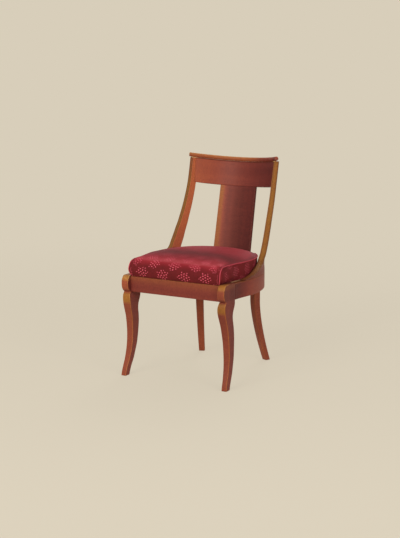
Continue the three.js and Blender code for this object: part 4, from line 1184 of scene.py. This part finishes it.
coverBottom = railTop + 2 * gap


def cushionLine():
    # The cushion's outline from the front's middle round the right side to the back's middle, with
    # how much each spot belongs to the front: straight, a rounded corner, then inside the tub line.
    r, sideX, frontY = cushion["corner"], cushion["sideX"], cushion["frontFace"]
    turn = quarterTurn(25)
    straight = np.linspace(0, sideX - r, 80)[:-1]
    spots = tubPlace[:halfTub]
    ringX, ringY = tubSpot(spots[spots >= tubAtY(cushion["ringFrom"])], seatLevels["inset"])
    sideY = np.linspace(frontY + r, postDepth, 20)[1:]
    x = np.r_[straight, sideX - r * (1 - np.sin(turn)), sideX + 0 * sideY, ringX]
    y = np.r_[frontY + 0 * straight, frontY + r * (1 - np.cos(turn)), sideY, ringY]
    frontness = np.r_[1 + 0 * straight, 1 - rising(turn / (math.pi / 2)), 0 * sideY, 0 * ringX]
    run = walked(np.stack([x, y], 1))
    even = np.linspace(0, run[-1], 1600)
    return even, *(np.interp(even, run, v) for v in (x, y, frontness))


def cushionSides():
    # The whole outline by a number from 0 to 4, whose whole values are its four corners: front
    # left, front right, rear right, rear left. The spots between them are evenly spaced.
    run, x, y, frontness = cushionLine()
    total = 2 * run[-1]
    whole = [np.r_[v, sign * v[-2::-1]] for v, sign in ((x, -1), (y, 1), (frontness, 1))]
    frontCorner = run[np.argmin(np.abs(frontness - 0.5))]
    rearX, rearY = tubSpot(cushion["rearCorner"], seatLevels["inset"])
    rearCorner = run[np.argmin(np.hypot(x - rearX, y - rearY))]
    corners = [-frontCorner, frontCorner, rearCorner, total - rearCorner, total - frontCorner]
    number = np.linspace(0, 4, 4 * 900 + 1)
    at = np.mod(np.interp(number, range(5), corners), total)
    spots = [np.interp(at, np.r_[run, total - run[-2::-1]], v) for v in whole]
    return number, *spots, np.minimum(at, total - at) - frontCorner


lineNumber, *lineValues = cushionSides()


def lineAt(number):
    # x, y, how much it belongs to the front, and the way round from the front corner
    return [np.interp(np.mod(number, 4), lineNumber, v) for v in lineValues]


def toMiddle(x, y, inset, share=1.0):
    # a spot drawn in by an inset towards the cushion's middle, and then by a share of the way
    dx, dy = x - cushionCentre[0], y - cushionCentre[1]
    reach = np.hypot(dx, dy)
    left = (reach - inset) / reach * share
    return cushionCentre[0] + dx * left, cushionCentre[1] + dy * left


def cushionHeight(y):
    # the whole rise in front, less a small share of it towards the back by an S curve
    back = rising((y - cushionCentre[1] / 2) / (cushion["fallReach"] * cushionCentre[1]))
    return cushion["rise"] * (1 - cushion["rearFall"] * back)


def cushionSide(number, row):
    # spots of the side, front and edge: the table gives how far in from the outline, towards the
    # cushion's middle, and how high; the bulge dies out beside the back posts
    x, y, frontness, _ = lineAt(number)
    table = through(np.column_stack([range(len(cushion["rows"])), cushion["rows"]]), row.ravel())
    level, sideIn, frontIn = (v.reshape(row.shape) for v in table.T)
    sideIn = np.where(sideIn < 0, sideIn * (1 - rising((y - postDepth) / postDepth)), sideIn)
    px, py = toMiddle(x, y, mix(sideIn, frontIn, frontness) * cushion["rise"] + cushion["shrink"])
    z = railTop + level * cushionHeight(py) - cushion["shrink"] * rising(level, 0, 0.2)
    return stacked(px, py, np.maximum(z, coverBottom))


def squareGrid(cells):
    # A square grid whose rings are numbered out from the middle: for each point its ring's share of
    # the whole and its number from 0 to 4 round the outline; then the edge's points in that order.
    i, j = np.meshgrid(np.arange(-cells, cells + 1), np.arange(-cells, cells + 1), indexing="ij")
    ring = np.maximum(abs(i), abs(j))
    k = np.maximum(ring, 1)
    number = np.select(
        [(j == -ring) & (i < ring), (i == ring) & (j < ring), (j == ring) & (i > -ring)],
        [(i + k) / (2 * k), 1 + (j + k) / (2 * k), 2 + (k - i) / (2 * k)],
        3 + (k - j) / (2 * k))
    edge = np.flatnonzero(ring == cells)
    return ring / cells, number, edge[np.argsort(number.ravel()[edge])]


def cushionMesh():
    # The top is a square grid drawn out to the outline and crowned; rows of the side go down from its
    # edge to the hem, which turns in under it to a recessed bottom.
    share, number, edge = squareGrid(cushion["cells"])
    edgeNumber, count = number.ravel()[edge], len(edge)
    lastRow = len(cushion["rows"]) - 1
    edgeTop = cushionSide(number, np.full(number.shape, float(lastRow)))
    crown = through(cushion["crown"], (1 - share).ravel())[:, 0].reshape(share.shape)
    flat = cushionCentre + (edgeTop[..., :2] - cushionCentre) * share[..., None]
    topZ = railTop + crown * cushionHeight(flat[..., 1]) - cushion["shrink"]
    for _ in range(cushion["softened"]):
        around = topZ[2:, 1:-1] + topZ[:-2, 1:-1] + topZ[1:-1, 2:] + topZ[1:-1, :-2]
        topZ[1:-1, 1:-1] = mix(topZ[1:-1, 1:-1], around / 4, 0.8)
    steps = lastRow * cushion["stepsPerRow"]
    rowAt, numberAt = np.broadcast_arrays(
        np.arange(steps)[::-1, None] / cushion["stepsPerRow"], edgeNumber)
    sidesAt = cushionSide(numberAt, rowAt)
    inward = np.r_[cushionCentre, coverBottom] - sidesAt[-1]
    hemIn = sidesAt[-1] + inward * (cushion["hem"] / np.linalg.norm(inward, axis=1))[:, None]
    recess = hemIn + [0, 0, cushion["recess"]]
    recess = np.stack([np.interp(number.ravel(), np.r_[edgeNumber, 4], np.r_[v, v[0]])
                       for v in recess.T], 1)
    recess[:, :2] = cushionCentre + (recess[:, :2] - cushionCentre) * share.reshape(-1, 1)
    top = stacked(flat[..., 0], flat[..., 1], topZ).reshape(-1, 3)
    points = np.concatenate([top, sidesAt.reshape(-1, 3), hemIn, recess])
    rows = len(top) + np.arange((steps + 1) * count).reshape(-1, count)
    bottomStart = len(top) + rows.size
    down = np.concatenate([edge[None], rows, edge[None] + bottomStart])
    quads = gridQuads(len(share))
    faces =np.concatenate([quads, bandQuads(down)[:, ::-1], quads[:, ::-1] + bottomStart])
    return points, faces, down, edgeNumber, len(quads), steps


points, faces, down, edgeNumber, topFaces, sideSteps = cushionMesh()


def cushionCloth():
    # The cloth's flat measure. The top and front are one panel: x, and the way up from the front's
    # hem over its edge and back. The box sides are their own panels: the way round from the corner,
    # and the way up from the hem.
    frontness, run = lineAt(edgeNumber)[2:]
    step = np.linalg.norm(np.diff(points[down], axis=0), axis=2)
    dropped = np.concatenate([0 * step[:1], np.cumsum(step, axis=0)])
    dx, dy = np.subtract(lineAt(edgeNumber + 0.002)[:2], lineAt(edgeNumber - 0.002)[:2])
    size = np.hypot(dx, dy)
    front = np.argmin(np.abs(edgeNumber - 0.5))
    flat = points[:, :2] + [0, dropped[sideSteps, front] - points[down[0, front], 1]]
    edge, panel = flat[down[0]], slice(sideSteps + 1)
    flat[down[panel]] = stacked(
        edge[:, 0] + dy / size * dropped, edge[:, 1] - dx / size * dropped)[panel]
    sideFlat = np.zeros((len(points), 2))
    sideFlat[down] = stacked(run + 7, dropped[sideSteps] - dropped - 17)
    weltStep = sideSteps - cushion["weltRow"] * cushion["stepsPerRow"]
    middleFront = (frontness + np.roll(frontness, -1)) / 2
    boxed = (np.arange(len(down) - 1)[:, None] >= weltStep) & (middleFront < cushion["weltFront"])
    onSide = np.zeros(len(faces), bool)
    onSide[topFaces:topFaces + boxed.size] = boxed.ravel()
    return np.where(onSide[:, None, None], sideFlat[faces], flat[faces]), weltStep


corners, weltStep = cushionCloth()


def puffed(points, faces):
    # The stuffed cover swells under pressure against its seams: the hem, the bottom and, less
    # firmly, the welt line are held, and no point goes further than the cap.
    mesh = bpy.data.meshes.new("puffed")
    mesh.from_pydata(toFrame(points).tolist(), [], faces.tolist())
    body = linked("puffed", mesh)
    held = np.ones(len(points))
    held[:down[1, 0]] = 0
    held[down[1:sideSteps]] = 0
    held[down[weltStep - 1:weltStep + 2]] = stuffing["weltHold"]
    pins = body.vertex_groups.new(name="pins")
    for weight in (stuffing["weltHold"], 1.0):
        pins.add(np.flatnonzero(held == weight).tolist(), weight, "REPLACE")
    cloth = body.modifiers.new("cloth", "CLOTH")
    cloth.settings.vertex_group_mass = "pins"
    cloth.settings.use_pressure = True
    cloth.settings.uniform_pressure_force = stuffing["pressure"]
    cloth.settings.effector_weights.gravity = 0
    cloth.settings.tension_stiffness = cloth.settings.compression_stiffness = stuffing["stretch"]
    cloth.settings.bending_stiffness = stuffing["bend"]
    cloth.settings.quality = stuffing["quality"]
    cloth.collision_settings.use_collision = False
    for number in range(1, stuffing["frames"] + 1):
        bpy.context.scene.frame_set(number)
    graph = bpy.context.evaluated_depsgraph_get()
    result = np.zeros(len(points) * 3)
    body.evaluated_get(graph).data.vertices.foreach_get("co", result)
    bpy.context.scene.frame_set(1)
    bpy.data.objects.remove(body)
    moved = result.reshape(-1, 3) * 1000 - [0, forward, 0] - points
    length = np.linalg.norm(moved, axis=1)
    beside, seen = np.zeros(len(points)), down[:sideSteps + 2]
    beside[seen] = rising(points[seen, 1], *stuffing["besidePosts"])
    room = mix(stuffing["cap"], stuffing["sideRoom"], beside)
    return points + moved * np.minimum(1, room / np.maximum(length, 1e-9))[:, None]


points = puffed(points, faces)
print("cushion stuffed")
crease = {"depth": 0.9, "pitch": 21, "sway": 1.3, "swayReach": 37, "fade": 11, "clear": 2}


def drawnIn(points):
    # Short creases where the cover is pulled down to its tacks: a wave round the hem that dies out
    # up the side.
    drawn = points.copy()
    spots, run = points[down[1:sideSteps + 1]], lineAt(edgeNumber)[3]
    level = spots[..., 2] - coverBottom
    swung = crease["sway"] * np.sin(run / crease["swayReach"])
    wave = np.sin(run * 2 * math.pi / crease["pitch"] + swung) * 0.5 + 0.5
    depth = crease["depth"] * wave * np.exp(-level / crease["fade"]) * rising(level / crease["clear"])
    inward = cushionCentre - spots[..., :2]
    inward = inward / np.linalg.norm(inward, axis=2)[..., None]
    drawn[down[1:sideSteps + 1], :2] += inward * depth[..., None]
    return drawn


points = drawnIn(points)
cushionGrid = points[down]
sprigCloth = {
    "pitchAcross": 78.0,
    "pitchRows": 43.0,
    "firstRow": 21.0,
    # each leaf: its middle, its turn in degrees, its length and its width, in millimetres
    "leaves": [
        (-11, -13, 30, 7.4, 3.6), (0, -15, 82, 6.4, 3.4), (10, -11.5, -35, 7.4, 3.6),
        (-18, -5, 70, 7, 3.4), (-7, -5, -30, 7.4, 3.8), (3.5, -5.5, 50, 7.4, 3.8),
        (15.5, -3, 84, 7, 3.4), (-12.5, 4, 15, 7.4, 3.6), (-2.5, 3.5, -60, 7.4, 3.8),
        (8, 4, 20, 7.4, 3.6), (-17.5, 12, -45, 6.2, 3.4), (-7, 12.5, 60, 7.4, 3.6),
        (3, 13, -20, 7.4, 3.6), (13.5, 11.5, 40, 7, 3.4), (20, 5.5, 0, 4, 3.2),
        (-20, -13, 0, 3.8, 3.2), (0, 20.5, 0, 3.8, 3.2), (19, -12, 60, 4, 3.2),
    ],
}
sprig = sprigGroup(**sprigCloth)
damaskTones = {
    "ground": [(0.0, (56, 20, 20)), (0.3, (88, 28, 29)), (0.55, (116, 32, 37)), (0.8, (142, 40, 47)),
               (1.0, (166, 62, 68))],
    "sprig": (218, 92, 110),
    # the welt's ramp is lighter than the ground's: a painted highlight along the round cord
    "welt": [(0.0, (120, 36, 48)), (0.6, (170, 60, 72)), (1.0, (208, 96, 106))],
    "sheen": (250, 128, 134),
}


def damaskMaterial(name, sprigged):
    # Crimson satin; the sprigs are floats of paler thread that stand up a little and catch more light,
    # and the cloth's tone, which carries painted light and shade, is kept on the piece.
    material, tree = newMaterial(name, **{
        "Sheen Weight": 0.17, "Sheen Roughness": 0.35, "Sheen Tint": linear(damaskTones["sheen"]),
        "Specular IOR Level": 0.12, "Specular Tint": linear((255, 170, 170))})
    spot = put(tree, "ShaderNodeUVMap", uv_map="cloth")[0]
    cloth = useGroup(tree, weave, Spot=spot, Threads=1150.0)
    tone = plus(kept(tree, "tone"), sway(noise(spot, 26.0), 0.3))
    tone = plus(tone, sway(cloth["Slub"], 0.16), True)
    color = ramp(tone, damaskTones["ground" if sprigged else "welt"])
    height = times(cloth["Height"], 0.35)
    rough = plus(0.62, times(cloth["Slub"], 0.12))
    if sprigged:
        shape = useGroup(tree, sprig, Spot=scaled(spot, 1000.0))["Mask"]
        threads = plus(0.78, times(cloth["Warp"], 0.22))
        figured = times(times(shape, threads), kept(tree, "sprigShare"))
        color = blended(figured, color, linear(damaskTones["sprig"]))
        height = plus(height, times(shape, 0.5))
        rough = minus(rough, times(figured, 0.12))
    return finish(material, color, rough, height, 0.4, 0.0004)


# where the cloth's tone and its sprigs change: a place, and how far on the change is whole; the shaded
# band and roll are the middle and the width of a band of painted shade and a band of painted highlight,
# and the band after the shade is painted sheen
seatLook = {"top": (0.8, 0.14), "shadeBand": (0.29, 0.1), "farSheen": (0.4, 0.2), "roll": (0.86, 0.16),
            "rollEnd": (0.08, 0.15), "fewer": (0.075, 0.045), "fewest": (0.15, 0.1), "corner": (20, 16)}


def cushionTones():
    # painted light and shade on the cloth: a painted highlight along the front of the top, a band of
    # painted shade across its middle, painted sheen towards the back, and painted shade on the front and
    # sides below;
    # painted sheen also makes the sprigs stand out near the front and at the sides and fade towards the
    # back
    level = (points[:, 2] - railTop) / cushion["rise"]
    onTop = rising(level, *seatLook["top"])
    frontness, run = lineAt(edgeNumber)[2:]
    side, cornered = np.zeros(len(points)), np.ones(len(points))
    side[down], cornered[down] = 1 - frontness, rising(run, *seatLook["corner"])
    side = side * (1 - onTop)
    back = (points[:, 1] - cushion["frontFace"]) / (cushionBack - cushion["frontFace"])
    back = np.clip(back, 0, 1)
    shadeBand, roll = (np.exp(-((v - middle) / width) ** 2) for v, (middle, width) in (
        (back, seatLook["shadeBand"]), (level, seatLook["roll"])))
    farSheen, rollEnd, fewer, fewest = (rising(back, *seatLook[k]) for k in (
        "farSheen", "rollEnd", "fewer", "fewest"))
    top = 0.66 - 0.36 * shadeBand + 0.12 * farSheen
    tone = mix(0.36, top, onTop) + 0.36 * roll * (1 - side) * (1 - rollEnd)
    share = mix(1, 0.3, fewer * onTop) * mix(1, 0.25, fewest * onTop)
    return mix(tone, 0.4, side), share * mix(1, 0.65 * cornered, side)


mesh = meshOf("seatCushion", points, faces.tolist(), 60)
clothMap(mesh, corners)
for title, values in zip(("tone", "sprigShare"), cushionTones()):
    mark(mesh, title, values)
seatCushion = place("seatCushion", mesh, "seat", damaskMaterial("crimsonDamask", True),
                    ["seat_cover", "seat_stuffing"])
rounding = seatCushion.modifiers.new("rounding", "SUBSURF")
rounding.levels = rounding.render_levels = 1

welt = {"radius": 1.9, "around": 14, "stand": 1.2, "endPlace": 1.5, "turnRows": 3, "turnReach": 30.0,
        "spacing": 2.5, "rows": 180, "taper": 4, "thinnest": 0.04}
weltCloth = damaskMaterial("weltDamask", False)


def weltRows(side):
    # A round cord of cloth laid on the cushion: up beside the front corner, over in a quarter turn,
    # and back along the edge of the box side, thinner at its two ends. It follows the cushion's own
    # points, read between the rows and columns of their grid.
    x, y, frontness, run = lineAt(edgeNumber)
    mine = np.flatnonzero((side * x > 0) & (frontness < cushion["weltFront"]))
    mine = mine[np.argsort(run[mine])]
    mine = mine[tubAtY(y[mine]) < welt["endPlace"]]
    runs = run[mine]
    turn = quarterTurn(24)[1:-1]
    lowStep = weltStep + welt["turnRows"] * cushion["stepsPerRow"]
    upright = np.arange(sideSteps - 1, lowStep - 1, -1.0)
    back = np.arange(runs[0] + welt["turnReach"], runs[-1], welt["spacing"])
    step = np.r_[upright, mix(lowStep, weltStep, np.sin(turn)), weltStep + 0 * back]
    way = np.r_[runs[0] + 0 * upright, mix(runs[0], back[0], 1 - np.cos(turn)), back]
    column = np.interp(way, runs, np.arange(len(mine)))
    row, col = np.floor(step).astype(int), np.minimum(np.floor(column).astype(int), len(mine) - 2)
    near, far = (mix(cushionGrid[at, mine[col]], cushionGrid[at, mine[col + 1]], (column - col)[:, None])
                 for at in (row, np.minimum(row + 1, len(cushionGrid) - 1)))
    path = mix(near, far, (step - row)[:, None])
    rise = np.clip((path[:, 2] - railTop) / cushion["rise"], 0, 1)
    forwardness = 1 - rising(way, runs[0], welt["turnReach"])
    skin = stacked(side * mix(0.8, 0.72, rise), -0.6 * forwardness, 0.7 * rising(rise * 1.2))
    length = walked(path)
    even = np.linspace(0, length[-1], welt["rows"])
    path, skin = (np.stack([np.interp(even, length, v) for v in line.T], 1) for line in (path, skin))
    path[2:-2] = np.stack([np.convolve(v, np.ones(5) / 5, "valid") for v in path.T], 1)
    along = np.gradient(path, axis=0)
    along /= np.linalg.norm(along, axis=1)[:, None]
    out = skin - along * np.einsum("ij,ij->i", skin, along)[:, None]
    out /= np.linalg.norm(out, axis=1)[:, None]
    over = np.cross(along, out)
    path = path + out * welt["stand"]
    ends = np.minimum(1, np.minimum(even, even[-1] - even) / welt["taper"])
    radius = welt["radius"] * np.sqrt(np.clip(1 - (1 - ends) ** 2, welt["thinnest"], 1))[:, None, None]
    turn = fullTurn(welt["around"])[:, None]
    rows = path[:, None] + radius * (out[:, None] * np.cos(turn) + over[:, None] * np.sin(turn))
    return rows, stacked(even[:, None], welt["radius"] * turn[:, 0])


for title, name, side in sides:
    rows, flat = weltRows(side)
    mesh = skinOf("seatWelt" + title, rows)
    clothMap(mesh, cornersOf(mesh, flat))
    # painted light: the welt is lighter at its front end and shaded towards the rear
    mark(mesh, "tone", np.broadcast_to(np.linspace(0.7, 0.4, len(rows))[:, None], rows.shape[:2]))
    place("seatWelt" + title, mesh, "seat", weltCloth, ["seat_welt_" + name])

canvas = {"bottom": 399.8, "thickness": 1.0, "inset": 12.0, "cells": 24, "under": 0.15, "sag": 0.15,
          "sagAcross": 92, "sagBack": 96}


def canvasPiece():
    # a flat sheet cut to the cushion's outline, drawn down a little between the straps, and a
    # second face under it
    share, number, edge = squareGrid(canvas["cells"])
    x, y = toMiddle(*lineAt(number)[:2], canvas["inset"], share)
    y = np.maximum(y, frontRailBack)
    sag = canvas["sag"] * np.sin(x * 2 * math.pi / canvas["sagAcross"]) * np.sin(
        y * 2 * math.pi / canvas["sagBack"])
    top = stacked(x, y, canvas["bottom"] + canvas["thickness"]).reshape(-1, 3)
    under = stacked(x, y, canvas["bottom"] + canvas["under"] + sag * (1 - share)).reshape(-1, 3)
    quads = gridQuads(len(share))
    rim =bandQuads(np.stack([edge + len(top), edge]))
    points = np.concatenate([top, under])
    faces = np.concatenate([quads, quads[:, ::-1] + len(top), rim])
    mesh = meshOf("seatCanvas", points, faces.tolist(), 60)
    clothMap(mesh, cornersOf(mesh, points[:, :2]))
    a, b, c, d = top[quads, :2].transpose(1, 2, 0)
    piece = place("seatCanvas", mesh, "seat", linenMaterial("canvasLinen", 900.0, False),
                  ["seat_canvas"])


canvasPiece()
print("seat upholstered")


# Floor, light and camera

stageLook = {"paper": (216, 206, 186), "half": 12.0, "cells": 12, "seenShare": 0.78, "fadeFrom": 1.2,
             "fadeTo": 3.4, "light": (1.0, 0.985, 0.96, 1.0), "roomStrength": 0.5}
paper = linear(stageLook["paper"])


def floorMaterial():
    # Pale paper. Seen by the camera or in a reflection it keeps its own colour, with the chair's
    # shadow laid over, and further out it gives way to the same colour behind it.
    material, tree = newMaterial("paper", **{"Specular IOR Level": 0.1})
    spot = put(tree, "ShaderNodeTexCoord")["Object"]
    cloudy = blended(noise(spot, 1.7), tuple(0.985 * v for v in paper[:3]) + (1.0,), paper)
    finish(material, cloudy, 0.95)
    glow = put(tree, "ShaderNodeEmission", {"Color": paper, "Strength": 1.0})[0]
    path = put(tree, "ShaderNodeLightPath")
    seen = calc("MAXIMUM", path["Is Camera Ray"], path["Is Glossy Ray"])
    lit = put(tree, "ShaderNodeMixShader", {
        0: times(seen, stageLook["seenShare"]), 1: tree.nodes["Principled BSDF"].outputs[0], 2: glow})[0]
    away = ranged(vectorCalc("LENGTH", spot)["Value"], stageLook["fadeFrom"], stageLook["fadeTo"])
    both = put(tree, "ShaderNodeMixShader", {0: times(seen, away), 1: lit, 2: glow})[0]
    out = next(n for n in tree.nodes if n.type == "OUTPUT_MATERIAL")
    socketOf(tree, out, "Surface", both)
    return material


def layFloor():
    # a flat square grid on the ground
    side = np.linspace(-stageLook["half"], stageLook["half"], stageLook["cells"] + 1)
    spots = stacked(*np.meshgrid(side, side, indexing="ij"), 0)
    mesh = bpy.data.meshes.new("floor")
    mesh.from_pydata(spots.reshape(-1, 3).tolist(), [], gridQuads(len(side)).tolist())
    mesh.materials.append(floorMaterial())
    linked("floor", mesh)


layFloor()
scene = bpy.context.scene
scene.view_settings.view_transform = "Standard"
scene.world = bpy.data.worlds.new("room")
scene.world.use_nodes = True
room = scene.world.node_tree
path = put(room, "ShaderNodeLightPath")
seen = calc("MAXIMUM", path["Is Camera Ray"], path["Is Transmission Ray"])
background = room.nodes["Background"]
socketOf(room, background, "Color", blended(seen, stageLook["light"], paper))
socketOf(room, background, "Strength", put(
    room, "ShaderNodeMix", {0: seen, 2: stageLook["roomStrength"], 3: 1.0}, data_type="FLOAT")[0])

lamps = [
    # name, place, what it points at, size, watts and colour
    ("key", (-0.5, -4.2, 2.5), (0, 0, 0.45), 2.4, 125, (1.0, 0.965, 0.91)),
    ("fill", (3.4, -1.6, 1.5), (0, 0, 0.45), 2.2, 55, (1.0, 0.97, 0.94)),
    ("behind", (-0.6, 3.0, 2.8), (0, 0, 0.6), 2.0, 40, (0.97, 0.98, 1.0)),
]
for name, at, aim, size, watts, color in lamps:
    light = bpy.data.lights.new(name, "AREA")
    light.shape, light.size, light.energy, light.color = "DISK", size, watts, color
    lampObject = linked(name, light)
    lampObject.location = at
    lampObject.rotation_euler = (Vector(aim) - Vector(at)).to_track_quat("-Z", "Y").to_euler()

camera = bpy.data.cameras.new("camera")
camera.lens, camera.sensor_width = 80.406, 36.0
viewer = linked("camera", camera)
viewer.location = (2.28132, -4.08887, 1.27759)
viewer.rotation_euler = (math.pi / 2 - 0.185654, 0, 0.516725)
scene.camera = viewer
print("stage set")
